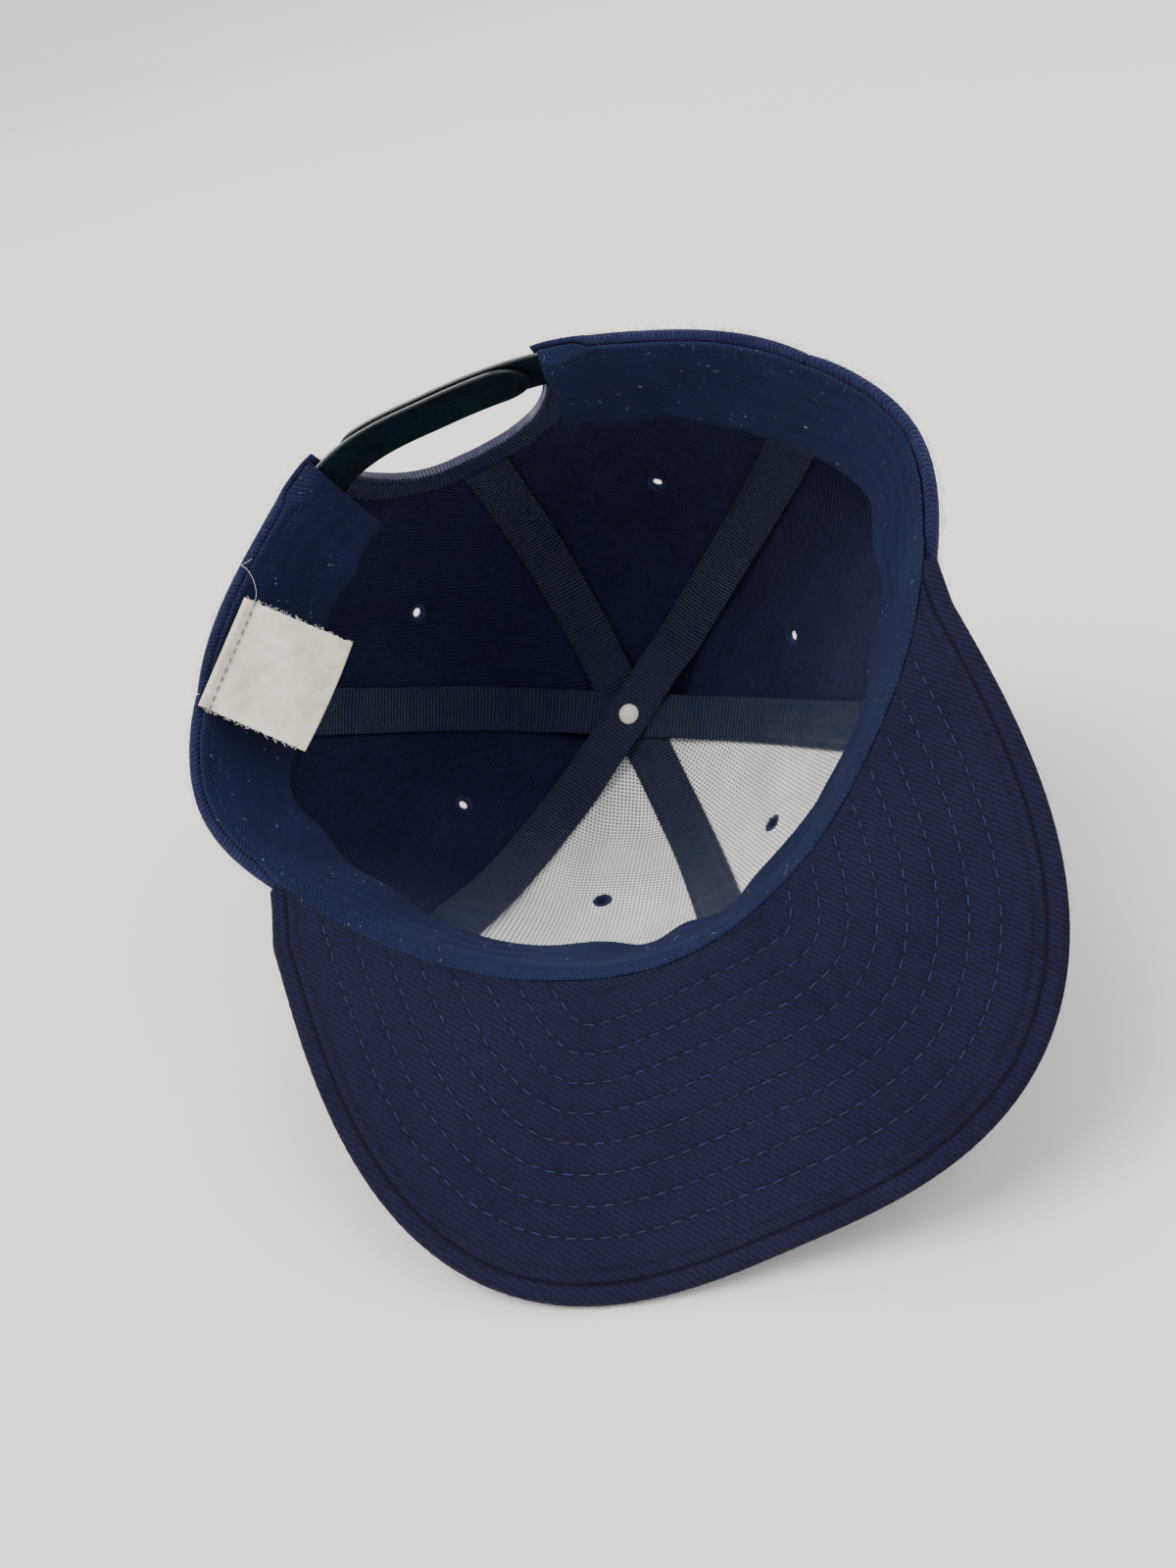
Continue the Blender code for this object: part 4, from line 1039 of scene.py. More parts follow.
def brim_relief(distance):
    """How far both cloths sink along the rolled edge's groove and the rows of stitches."""
    sink = EDGE_GROOVE_DEEP * np.exp(-((distance - EDGE_GROOVE_AT) / EDGE_GROOVE_WIDE) ** 2)
    for row in range(BRIM_STITCH_ROWS):
        place = BRIM_FIRST_ROW + BRIM_ROW_PITCH * row
        sink = sink + QUILT_DEEP * np.exp(-((distance - place) / QUILT_WIDE) ** 2)
    return sink


def brim_up(plan):
    """Upward direction of the brim's faces."""
    step = 0.0005
    x, y = plan[..., 0], plan[..., 1]
    slope_x = (brim_height(x + step, y) - brim_height(x - step, y)) / (2.0 * step)
    slope_y = (brim_height(x, y + step) - brim_height(x, y - step)) / (2.0 * step)
    return unit(np.stack([-slope_x, -slope_y, np.ones_like(slope_x)], -1))


def brim_point(plan, side, lift):
    """Point lift above the upper (side 1) or lower (side -1) cloth of the brim."""
    z = brim_height(plan[..., 0], plan[..., 1])
    sink = brim_relief(edge_distance(plan))
    if side < 0:
        return np.concatenate([plan, (z - BRIM_THICK + sink - lift)[..., None]], -1)
    return np.concatenate([plan, (z - sink + lift)[..., None]], -1)


def make_brim(material):
    """Brim board in wool twill, with a rolled edge and quilted rows."""
    outer = even_path(BRIM_OUTLINE, BRIM_COLUMNS)
    azimuth = np.linspace(BRIM_ROOT_AZIMUTH, -BRIM_ROOT_AZIMUTH, BRIM_COLUMNS)
    face = crown_face(azimuth, 0.0)[:, :2]
    inner = face * (1.0 - brim_root_depth() / np.linalg.norm(face, axis=1))[:, None]
    length = np.linalg.norm(outer - inner, axis=1)
    bevel = np.minimum(0.5 * BRIM_THICK, 0.25 * length)
    near = bevel[:, None] * np.array([0.0, 0.03, 0.12, 0.27, 0.5, 0.75, 1.0])
    rest = bevel[:, None] + (length - bevel)[:, None] * np.linspace(0.0, 1.0, BRIM_ROWS)[1:]
    shares = np.concatenate([near, rest], 1) / length[:, None]
    plan = outer[:, None, :] + (inner - outer)[:, None, :] * shares[..., None]
    plan = plan.transpose(1, 0, 2)
    distance = edge_distance(plan)
    x, y = plan[..., 0], plan[..., 1]
    run = np.arctan2(y, x)
    uneven = 0.00007 * np.sin(37.0 * run) * np.sin(61.0 * run + 1.0) * np.exp(-distance / 0.004)
    fall = rounded(distance, 0.5 * BRIM_THICK) + brim_relief(distance) + uneven
    fall = np.minimum(fall, 0.49 * BRIM_THICK)
    top = brim_height(x, y)
    upper = points(x, y, top - fall)
    lower = points(x, y, top - BRIM_THICK + fall)
    nap = 1.0 + EDGE_NAP * np.exp(-(distance / 0.0025) ** 2)
    return shell("brim_cloth", upper, lower, x, y, material, {"edge_mm": 1000.0 * distance, "nap": nap})


def brim_stitch_lines():
    """Rows of stitches at even distances from the brim's edge, on both of its faces."""
    ahead = unit(np.gradient(BRIM_OUTLINE, axis=0))
    inward = np.stack([-ahead[:, 1], ahead[:, 0]], -1)
    if (BRIM_OUTLINE[800] + inward[800] * 0.01)[1] < BRIM_OUTLINE[800][1]:
        inward = -inward
    lines = []
    for row in range(BRIM_STITCH_ROWS):
        distance = BRIM_FIRST_ROW + BRIM_ROW_PITCH * row
        path = BRIM_OUTLINE + inward * distance
        azimuth = np.degrees(np.arctan2(path[:, 0], -path[:, 1]))
        rim = np.linalg.norm(crown_face(azimuth, 0.0)[:, :2], axis=1)
        kept = edge_distance(path) > distance - 0.00012
        kept &= np.linalg.norm(path, axis=1) > rim + 0.0004
        path = path[kept]
        cuts = np.flatnonzero(np.linalg.norm(np.diff(path, axis=0), axis=1) > 0.004) + 1
        for part in np.split(path, cuts):
            if len(part) < 12:
                continue
            for side in (1.0, -1.0):
                lines.append((brim_point(part, side, 0.4 * QUILT_THREAD), side * brim_up(part)))
    return lines


# Arch binding, strap, label, button, rivet and eyelets

BINDING_COLUMNS = 150
BINDING_ROWS = 14
BINDING_BEVEL = 0.0004
BINDING_LAP = 0.0013
STRAP_COLUMNS = 130
STRAP_ROWS = 14
STRAP_BEVEL = 0.00035
STRAP_BEAD = 0.00016
STRAP_BEAD_WIDTH = 0.0013
STRAP_CUT_REACH = 0.002


def arch_place(x, height):
    """Azimuth where the crown's face is at sideways distances x and heights above the rim."""
    x, height = np.broadcast_arrays(np.asarray(x, float), np.asarray(height, float))
    middle = np.zeros(x.shape)
    climb = climb_at(height)
    return 180.0 - narrowed(
        middle - 70.0, middle + 70.0, 28, lambda side: crown_face(180.0 - side, climb)[..., 0] < x
    )


def arch_line(far, count):
    """Sideways distances and heights of a line around the arch, at a distance out from its edge."""
    power = 2.0 / ARCH_POWER
    clear = STRAP_LOW + STRAP_WIDTH + 4.0 * GAP
    start = asin(min((clear / ARCH_HEIGHT) ** (1.0 / power), 1.0))
    angle = np.linspace(start, pi - start, count)
    side = np.where(np.cos(angle) >= 0.0, 1.0, -1.0)
    x = side * ARCH_HALF_WIDTH * np.abs(np.cos(angle)) ** power
    z = ARCH_HEIGHT * np.sin(angle) ** power
    out = unit(np.stack([
        side * (np.abs(x) / ARCH_HALF_WIDTH) ** (ARCH_POWER - 1.0) / ARCH_HALF_WIDTH,
        (z / ARCH_HEIGHT) ** (ARCH_POWER - 1.0) / ARCH_HEIGHT,
    ], -1))
    far = np.asarray(far, float)[..., None]
    return x + out[:, 0] * far, np.maximum(z + out[:, 1] * far, clear)


def make_binding(material):
    """Ribbed tape around the inside of the arch."""
    across = across_lines(BINDING_WIDTH, BINDING_ROWS, BINDING_BEVEL)
    x, height = arch_line(GAP - BINDING_LAP + across, BINDING_COLUMNS)
    azimuth = arch_place(x, height)
    climb = climb_at(height)
    fall = rounded(np.minimum(across, BINDING_WIDTH - across), BINDING_BEVEL)[:, None]
    depth = PANEL_THICK + CLOTH_GAP
    spine = crown_point(azimuth[:1], climb[:1], depth)
    along = run_along(spine[0][:, None])[:, 0]
    swell = 0.00030 * np.exp(-((across - 0.005) / 0.0020) ** 2)[:, None]
    cord = 0.00050 * np.exp(-((across - 0.0011) / 0.0007) ** 2)[:, None]
    wrap = (PANEL_THICK + 0.0004) * (1.0 - smooth((across - 0.0004) / 0.0011))[:, None]
    pucker = 0.00008 * np.sin(along * 900.0)[None, :]
    face = crown_point(azimuth, climb, depth + fall - wrap)
    back = crown_point(azimuth, climb, depth + BINDING_THICK - fall + swell + cord + pucker)
    flat = np.broadcast_to(across[:, None], azimuth.shape)
    run = np.broadcast_to(along[None, :], azimuth.shape)
    return shell("arch_binding_cloth", face, back, flat, run, material)


def strap_point(azimuth, height, depth):
    """Points of the strap, which stands upright along the rim's line."""
    reach = seam_reach(azimuth) + PANEL_THICK + FOLD_THICK - depth
    angle = np.radians(azimuth)
    lift = rim_height(azimuth) + height
    inward = crown_face(180.0, 0.0)[1] - crown_face(180.0, climb_at(height))[..., 1]
    return points((reach - inward) * np.sin(angle), -(reach - inward) * np.cos(angle), lift)


def strap_depth(layer):
    return PANEL_THICK + CLOTH_GAP + layer * (STRAP_THICK + GAP)


def strap_plate(name, side, layer, material):
    """One half of the snap strap: a moulded plate with a bead along its edge and a round tip."""
    sewn = ARCH_EDGE - degrees(STRAP_TUCK / float(seam_reach(ARCH_EDGE)))
    tip = 360.0 - ARCH_EDGE - degrees(STRAP_SHORT / float(seam_reach(170.0)))
    first, last = (sewn, tip) if side > 0 else (360.0 - sewn, 360.0 - tip)
    length = abs(radians(last - first)) * float(seam_reach(180.0))
    share = 1.0 - (1.0 - np.linspace(0.0, 1.0, STRAP_COLUMNS)) ** 1.7
    left = (1.0 - share) * length
    radius = 0.5 * STRAP_WIDTH
    round_end = np.sqrt(np.maximum(radius ** 2 - (radius - np.minimum(left, radius)) ** 2, 0.0))
    half = np.maximum(round_end, 0.0012)
    lines = across_lines(2.0, STRAP_ROWS, 0.09) - 1.0
    aside = lines[:, None] * half[None, :]
    from_tip = radius - np.hypot(np.maximum(radius - left, 0.0)[None, :], aside)
    beside = np.where(left[None, :] < radius, np.maximum(from_tip, 0.0), half[None, :] - np.abs(aside))
    azimuth = np.broadcast_to(mix(first, last, share)[None, :], aside.shape)
    bead = STRAP_BEAD * (1.0 - smooth((beside - STRAP_BEAD_WIDTH) / 0.0005))
    fall = rounded(beside, STRAP_BEVEL)
    height = STRAP_LOW + radius + aside
    depth = strap_depth(layer)
    face = strap_point(azimuth, height, depth + fall + STRAP_BEAD - bead)
    back = strap_point(azimuth, height, depth + STRAP_THICK - fall - STRAP_BEAD + bead)
    along = np.broadcast_to((share * length)[None, :], aside.shape)
    return shell(name, face, back, along, aside, material)


def peg_place(azimuth):
    """Middle of the outer strap half at an azimuth, and the way out of it."""
    height = STRAP_LOW + 0.5 * STRAP_WIDTH
    depth = strap_depth(0) + 0.5 * STRAP_THICK
    side = strap_point(azimuth + 1.0, height, depth) - strap_point(azimuth - 1.0, height, depth)
    rise = strap_point(azimuth, height + 0.004, depth) - strap_point(azimuth, height - 0.004, depth)
    return strap_point(azimuth, height, depth), unit(np.cross(side, rise))


def peg_azimuths():
    step = degrees(PEG_PITCH / float(seam_reach(180.0)))
    return [180.0 + step * (k - 0.5 * (PEG_COUNT - 1)) for k in range(PEG_COUNT)]


def make_strap_pegs(material):
    """Inner half, with a row of pegs that stand out through the other half's holes."""
    plate = strap_plate("strap_pegs_plate", 1.0, 1, material)
    pegs = []
    low = -0.5 * STRAP_THICK - GAP - 0.5 * STRAP_THICK
    high = 0.5 * STRAP_THICK + PEG_STAND
    profile = [
        (0.0, low), (PEG_RADIUS, low), (PEG_RADIUS, high - 0.0005), (0.94 * PEG_RADIUS, high - 0.0002),
        (0.75 * PEG_RADIUS, high), (0.25 * PEG_RADIUS, high), (0.0, high),
    ]
    for k, azimuth in enumerate(peg_azimuths()):
        place, out = peg_place(azimuth)
        pegs.append(turned_mesh(f"peg_{k}", profile, HOLE_SIDES, place, out, material))
    join_into(plate, pegs)
    return plate


def make_strap_holes(material):
    """Outer half, with a row of punched holes."""
    plate = strap_plate("strap_holes_plate", -1.0, 0, material)
    wide, deep = PEG_RADIUS + GAP, STRAP_CUT_REACH
    profile = [(0.0, -deep), (wide, -deep), (wide, deep), (0.0, deep)]
    cut_out(plate, profile, [peg_place(azimuth) for azimuth in peg_azimuths()], HOLE_SIDES, 35.0)
    return plate


LABEL_GRID = 46
LABEL_BEVEL = 0.0003
LABEL_ROLL = 0.0034
LABEL_ROLL_HIGH = 0.0014
LABEL_POINTS = 60
FRAY_COUNT = 110
FRAY_RADIUS = 0.00005


def label_frame():
    """Middle of the label's sewn edge, the way along it and the way in over the band."""
    half = degrees(0.5 * LABEL_LENGTH / float(seam_reach(LABEL_AZIMUTH)))
    left = crown_point(LABEL_AZIMUTH - half, 0.0, 0.0)
    right = crown_point(LABEL_AZIMUTH + half, 0.0, 0.0)
    spin = np.array(Matrix.Rotation(radians(LABEL_TURN), 3, "Z"))
    along = spin @ unit(right - left)
    inward = unit(np.cross([0.0, 0.0, 1.0], along))
    low = float(rim_height(LABEL_AZIMUTH + half * np.linspace(-1.0, 1.0, 9)).min())
    middle = crown_point(LABEL_AZIMUTH, 0.0, LABEL_IN)
    return np.array([middle[0], middle[1], low - CLOTH_GAP - LABEL_THICK]), along, inward


LABEL_CENTER, LABEL_ALONG, LABEL_INWARD = label_frame()


def label_point(aside, far, lift):
    """Points of the label, whose visible face looks away from the crown."""
    rise = LABEL_RISE * smooth((far / LABEL_DEPTH - 0.2) / 1.3)
    curl = 0.04 * LABEL_LENGTH * (2.0 * aside / LABEL_LENGTH) ** 2 * (far / LABEL_DEPTH) ** 2
    crease = 0.00060 * np.exp(-((far - 0.62 * aside - 0.0145) / 0.0014) ** 2) * smooth(0.8 - aside / 0.01)
    bow = 0.0004 * np.sin(far * 210.0 + aside * 60.0) * smooth(far / 0.01)
    z = rise - curl + crease + bow - lift
    up = np.array([0.0, 0.0, 1.0])
    flat = LABEL_CENTER + LABEL_ALONG * aside[..., None] + LABEL_INWARD * far[..., None]
    return flat + up * z[..., None]


def make_label(material):
    """Folded satin label with a full roll where it is sewn into the rim."""
    aside = across_lines(LABEL_LENGTH, LABEL_GRID, LABEL_BEVEL)[None, :] - 0.5 * LABEL_LENGTH
    far = across_lines(LABEL_DEPTH, LABEL_GRID, LABEL_BEVEL)[:, None]
    aside, far = np.broadcast_arrays(aside, far)
    beside = np.minimum(0.5 * LABEL_LENGTH - np.abs(aside), np.minimum(far, LABEL_DEPTH - far))
    fall = rounded(beside, LABEL_BEVEL)
    fray = 0.0002 * np.sin(far * 3100.0) * np.sin(far * 1270.0 + 1.0) * np.sign(aside)
    fray = fray * smooth((np.abs(aside) - 0.48 * LABEL_LENGTH) / 0.0005)
    roll = LABEL_ROLL_HIGH * np.sqrt(np.clip(1.0 - ((far - 0.0016) / 0.0016) ** 2, 0.0, 1.0))
    sewn = 0.00060 * np.exp(-((far - LABEL_ROLL) / 0.0007) ** 2)
    face = label_point(aside + fray, far, -fall + roll - sewn)
    back = label_point(aside + fray, far, -0.6 * LABEL_THICK + fall - sewn)
    return shell("label_cloth", face, back, aside, far, material)


def label_threads():
    """Line of the stitches along the label's seam."""
    aside = np.linspace(-0.48, 0.48, LABEL_POINTS) * LABEL_LENGTH
    seam = label_point(aside, np.full(LABEL_POINTS, LABEL_ROLL), 0.00005)
    return [(seam, np.tile([0.0, 0.0, -1.0], (LABEL_POINTS, 1)))]


def thread_tubes(name, lines, radius, material):
    """Thin round threads, each through points in the cap's frame."""
    curve = bpy.data.curves.new(name, "CURVE")
    curve.dimensions = "3D"
    curve.bevel_depth = radius
    curve.bevel_resolution = 1
    curve.use_fill_caps = True
    for line in lines:
        spline = curve.splines.new("POLY")
        spline.points.add(len(line) - 1)
        spline.points.foreach_set("co", np.concatenate([to_frame(line), np.ones((len(line), 1))], 1).ravel())
    item = show(name, curve)
    mesh = plain_mesh(item)
    bpy.data.objects.remove(item, do_unlink=True)
    mesh.materials.clear()
    mesh.materials.append(material)
    mesh.shade_smooth()
    return show(name, mesh)


def loose_threads(material):
    """Frayed ends along the label's cut edges and a long thread that curls over the rim."""
    chance = np.random.default_rng(5)
    lines = []
    for _ in range(FRAY_COUNT):
        side = chance.choice([-1.0, 1.0])
        far = chance.uniform(0.001, LABEL_DEPTH)
        edge = side * 0.5 * LABEL_LENGTH
        reach = chance.uniform(0.0005, 0.0014)
        slip = chance.uniform(-0.0015, 0.0015)
        steps = np.linspace(0.0, 1.0, 5)
        aside = edge + side * reach * steps - side * 0.0004
        lines.append(label_point(aside, far + slip * steps ** 2, -0.0001 - 0.0006 * steps ** 2))
    steps = np.linspace(0.0, 1.0, 30)
    aside = 0.5 * LABEL_LENGTH + 0.0110 * steps - 0.0012 * np.sin(steps * 9.0)
    far = 0.0022 - 0.0050 * steps + 0.0026 * np.sin(steps * 6.5)
    lines.append(label_point(aside, far, 0.0007 + 0.0010 * np.sin(steps * 3.1)))
    return thread_tubes("label_loose_threads", lines, FRAY_RADIUS, material)


def make_button(material):
    """Button covered in the crown's wool, a little fuller than a flat dome."""
    steps = np.linspace(0.0, pi / 2.0, 12)
    dome = [(BUTTON_RADIUS * sin(step), GAP + 0.0008 + (BUTTON_HEIGHT - 0.0008) * cos(step) ** 0.8)
            for step in steps]
    foot = [(0.985 * BUTTON_RADIUS, GAP + 0.0003), (0.93 * BUTTON_RADIUS, GAP), (0.0, GAP)]
    return turned_mesh("button_cloth", dome + foot, 56, crown_face(0.0, 1.0), (0.0, 0.0, 1.0), material)


def make_rivet(material):
    """Painted rivet head with a soft shoulder."""
    stack = PANEL_THICK + BUCKRAM_THICK + 4.0 * CLOTH_GAP + 3.0 * TAPE_THICK
    place = crown_face(0.0, 1.0) - np.array([0.0, 0.0, stack + GAP])
    profile = [
        (0.0, 0.0), (0.96 * RIVET_RADIUS, 0.0), (RIVET_RADIUS, 0.12 * RIVET_HEIGHT),
        (0.985 * RIVET_RADIUS, 0.30 * RIVET_HEIGHT), (0.92 * RIVET_RADIUS, 0.52 * RIVET_HEIGHT),
        (0.80 * RIVET_RADIUS, 0.74 * RIVET_HEIGHT), (0.60 * RIVET_RADIUS, 0.90 * RIVET_HEIGHT),
        (0.30 * RIVET_RADIUS, 0.98 * RIVET_HEIGHT), (0.0, RIVET_HEIGHT),
    ]
    return turned_mesh("rivet_head", profile, 48, place, (0.0, 0.0, -1.0), material)


EYELET_SIDES = 48
EYELET_SECTION = 14


def make_eyelet(name, azimuth, climb, backed, thread):
    """Eyelet sewn round with thread: a core ring and wraps across it on both faces."""
    place, normal, depth = eyelet_place(azimuth, climb, backed)
    half = 0.5 * depth
    ring = 0.5 * (EYELET_HOLE_RADIUS + EYELET_RADIUS)
    radius = 0.5 * (EYELET_RADIUS - EYELET_HOLE_RADIUS)
    turn = np.linspace(0.0, 2.0 * pi, EYELET_SIDES, endpoint=False)
    side, other = sides_of(normal)
    out = side * np.cos(turn)[:, None] + other * np.sin(turn)[:, None]
    section = np.linspace(0.0, 2.0 * pi, EYELET_SECTION, endpoint=False)
    verts = [
        place + direction * (ring + 0.92 * radius * cos(s)) + normal * 0.95 * half * sin(s)
        for s in section for direction in out
    ]
    verts = np.array(verts)
    faces = []
    for j in range(EYELET_SECTION):
        low, high = j * EYELET_SIDES, (j + 1) % EYELET_SECTION * EYELET_SIDES
        for k in range(EYELET_SIDES):
            after = (k + 1) % EYELET_SIDES
            faces.append((low + k, low + after, high + after, high + k))
    flat = np.stack([(verts - place) @ side, (verts - place) @ other], -1)
    core = finish_mesh(name + "_ring", to_frame(verts), faces, flat, thread)
    lines = []
    for face in (1.0, -1.0):
        path = place + out * ring + normal * face * (half - 0.00005)
        lines.append((path, np.tile(normal * face, (EYELET_SIDES, 1))))
    wraps = stitch_lines(
        name + "_wraps", lines, thread, EYELET_STITCH, turn=0.5 * pi, scatter=0.22, closed=True
    )
    join_into(core, [wraps])
    return core


# Materials

# A wave's pitch is the spacing of ribs or threads in millimetres. Ribs of the wool, the twill and
# the satin are drawn up to twice as far apart as real ones, which are too fine to show. A noise's
# scale is its grains to the metre: 1500 is fuzz about 0.7 mm wide, 40 is patches about 25 mm wide.

WAVE = 2.0 * pi / 20.0


def make_material(name, shader, noises=(), waves=(), kept=(), sums=(), maths=(), ramps=(), tints=(),
                  bumps=()):
    """Material from tables of its textures, their sums, its colours and its relief.

    Every row starts with its own key, and later rows name it. A noise has a scale, detail and
    roughness; a wave a pitch in millimetres, a turn in degrees, the way of its bands, a distortion,
    detail and the detail's scale. Kept names are numbers kept at a piece's points. A tint has its
    share, blend and colour, and a bump its height, distance and strength.
    """
    material = bpy.data.materials.new(name)
    material.use_nodes = True
    tree = material.node_tree
    place = add_node(tree, "ShaderNodeTexCoord", {}, 3)
    made = {}
    for key in kept:
        made[key] = add_node(tree, "ShaderNodeAttribute", {}, 2, attribute_name=key)
    for key, scale, detail, roughness in noises:
        made[key] = add_node(tree, "ShaderNodeTexNoise", {
            "Vector": place, "Scale": scale, "Detail": detail, "Roughness": roughness,
        })
    for key, pitch, turn, bands, distortion, detail, detail_scale in waves:
        flat = add_node(tree, "ShaderNodeUVMap", {}, uv_map="cloth_map")
        slant = add_node(tree, "ShaderNodeMapping", {"Vector": flat, "Rotation": (0.0, 0.0, radians(turn))})
        made[key] = add_node(tree, "ShaderNodeTexWave", {
            "Vector": slant, "Scale": WAVE / pitch, "Distortion": distortion, "Detail": detail,
            "Detail Scale": detail_scale,
        }, 1, bands_direction=bands)
    for key, *parts in sums:
        made[key] = 0.0
        for part, share in parts:
            made[key] = add_node(
                tree, "ShaderNodeMath", {0: made[part], 1: share, 2: made[key]}, operation="MULTIPLY_ADD"
            )
    for key, operation, *parts in maths:
        inputs = {k: made.get(part, part) for k, part in enumerate(parts)}
        made[key] = add_node(tree, "ShaderNodeMath", inputs, operation=operation)
    for key, source, *stops in ramps:
        made[key] = add_node(tree, "ShaderNodeValToRGB", {0: made[source]}, stops=stops)
    color = made["color"]
    for share, blend, tint in tints:
        color = add_node(
            tree, "ShaderNodeMix", {0: made.get(share, share), 6: color, 7: made.get(tint, tint)}, 2,
            data_type="RGBA", blend_type=blend
        )
    relief = {}
    for height, distance, strength in bumps:
        inputs = {"Height": made[height], "Distance": distance, "Strength": strength, **relief}
        relief = {"Normal": add_node(tree, "ShaderNodeBump", inputs)}
    settings = {key: made.get(value, value) for key, value in shader.items()}
    feed(tree.nodes["Principled BSDF"], {**settings, "Base Color": color, **relief})
    return material


def ribbed_tape(name, pitch, dark, light):
    """Woven seam tape: ribs across it with a satin gloss on their backs, and painted light and shade on the
    ribs and painted satin highlights in patches in its colour.
    """
    return make_material(
        name,
        {"Sheen Weight": 0.08, "Sheen Roughness": 0.4, "Sheen Tint": "#7f90b8", "Specular IOR Level": 0.5,
         "Roughness": "gloss"},
        noises=[("patches", 130.0, 3.0, 0.6), ("fuzz", 1400.0, 2.0, 0.6)],
        waves=[("ribs", pitch, 0.0, "Y", 0.35, 1.0, 1.0), ("strands", 0.55, 0.0, "X", 0.3, 1.0, 1.0)],
        # The ribs' and patches' shares in the tone are painted light and shade and painted satin highlights
        sums=[("tone", ("ribs", 0.56), ("patches", 0.34), ("fuzz", 0.20))],
        maths=[("weave", "MULTIPLY_ADD", "strands", 0.35, "ribs")],
        ramps=[
            ("color", "tone", (0.32, dark), (0.75, light)),
            ("gloss", "patches", (0.35, 0.62), (0.65, 0.34)),
        ],
        bumps=[("weave", 0.00040, 1.0)],
    )


def spun_thread(name, dark, light):
    """Spun thread or a loose fibre: soft lustre and a fine twist."""
    return make_material(
        name,
        {"Roughness": 0.75, "Sheen Weight": 0.08, "Sheen Roughness": 0.4, "Specular IOR Level": 0.2},
        noises=[("fibre", 2600.0, 2.0, 0.6), ("along", 180.0, 2.0, 0.5)],
        sums=[("tone", ("fibre", 0.5), ("along", 0.5))],
        ramps=[("color", "tone", (0.35, dark), (0.65, light))],
        bumps=[("fibre", 0.00005, 0.8)],
    )


# Felted wool broadcloth of the crown: matte, with a raised nap over a faint twill of about 1 mm, and a
# painted sheen that lightens it where the nap is high, along the rim
WOOL_INNER = make_material(
    "felted_wool_crown",
    {"Roughness": 0.95, "Sheen Weight": 0.26, "Sheen Roughness": 0.55, "Sheen Tint": "#7d80a8",
     "Specular IOR Level": 0.15},
    noises=[("fuzz", 1500.0, 3.0, 0.65), ("clumps", 420.0, 3.0, 0.6), ("patches", 42.0, 3.0, 0.55)],
    waves=[("rib", 1.15, 28.0, "X", 2.2, 2.0, 1.4)],
    kept=["nap"],
    sums=[
        # The nap's share in the tone paints the rim lighter: painted sheen beside the denser fibres
        ("tone", ("fuzz", 0.55), ("clumps", 0.30), ("rib", 0.20), ("nap", 0.022)),
        ("height", ("fuzz", 0.6), ("rib", 0.9)),
    ],
    ramps=[
        ("color", "tone", (0.30, "#090c1e"), (0.52, "#111630"), (0.78, "#22274a")),
        ("faded", "patches", (0.35, "#c9c6e2"), (0.70, "#ffffff")),
    ],
    tints=[(1.0, "MULTIPLY", "faded")],
    bumps=[("height", 0.00028, 0.9), ("clumps", 0.0006, 0.5)],
)

# Wool twill over the brim's board: fine diagonal ribs under a nap, with painted shade in the rolled edge's
# groove and along the rows of stitches
WOOL_BRIM = make_material(
    "wool_twill_brim",
    {"Roughness": 0.93, "Sheen Weight": 0.24, "Sheen Roughness": 0.5, "Sheen Tint": "#8183ab",
     "Specular IOR Level": 0.15},
    noises=[("fuzz", 1300.0, 3.0, 0.65), ("clumps", 300.0, 3.0, 0.6), ("patches", 30.0, 3.0, 0.55)],
    waves=[("rib", 1.15, 38.0, "X", 3.0, 3.0, 1.8)],
    kept=["edge_mm"],
    sums=[
        ("tone", ("fuzz", 0.38), ("clumps", 0.28), ("rib", 0.21)),
        ("height", ("fuzz", 0.6), ("rib", 0.5)),
    ],
    maths=[
        ("inside", "SUBTRACT", "edge_mm", 1000.0 * BRIM_FIRST_ROW),
        ("off_row", "PINGPONG", "inside", 500.0 * BRIM_ROW_PITCH),
        ("row_share", "DIVIDE", "off_row", 500.0 * BRIM_ROW_PITCH),
        ("past_roll", "SUBTRACT", "edge_mm", 1000.0 * EDGE_GROOVE_AT),
        ("off_roll", "ABSOLUTE", "past_roll"),
    ],
    ramps=[
        ("color", "tone", (0.28, "#0b0d1f"), (0.50, "#14172f"), (0.76, "#232645")),
        ("faded", "patches", (0.35, "#cfcbe6"), (0.70, "#ffffff")),
        # Painted shade along the rows of stitches; the same mask also sinks them in the bump
        ("dip", "row_share", (0.0, 0.0), (0.30, 1.0)),
        # Painted shade in the groove behind the rolled edge
        ("roll", "off_roll", (0.0, "#6e6c86"), (0.75, "#ffffff")),
    ],
    tints=[(1.0, "MULTIPLY", "faded"), (0.30, "MULTIPLY", "dip"), (1.0, "MULTIPLY", "roll")],
    bumps=[("height", 0.00032, 0.9), ("dip", 0.00030, 0.5)],
)

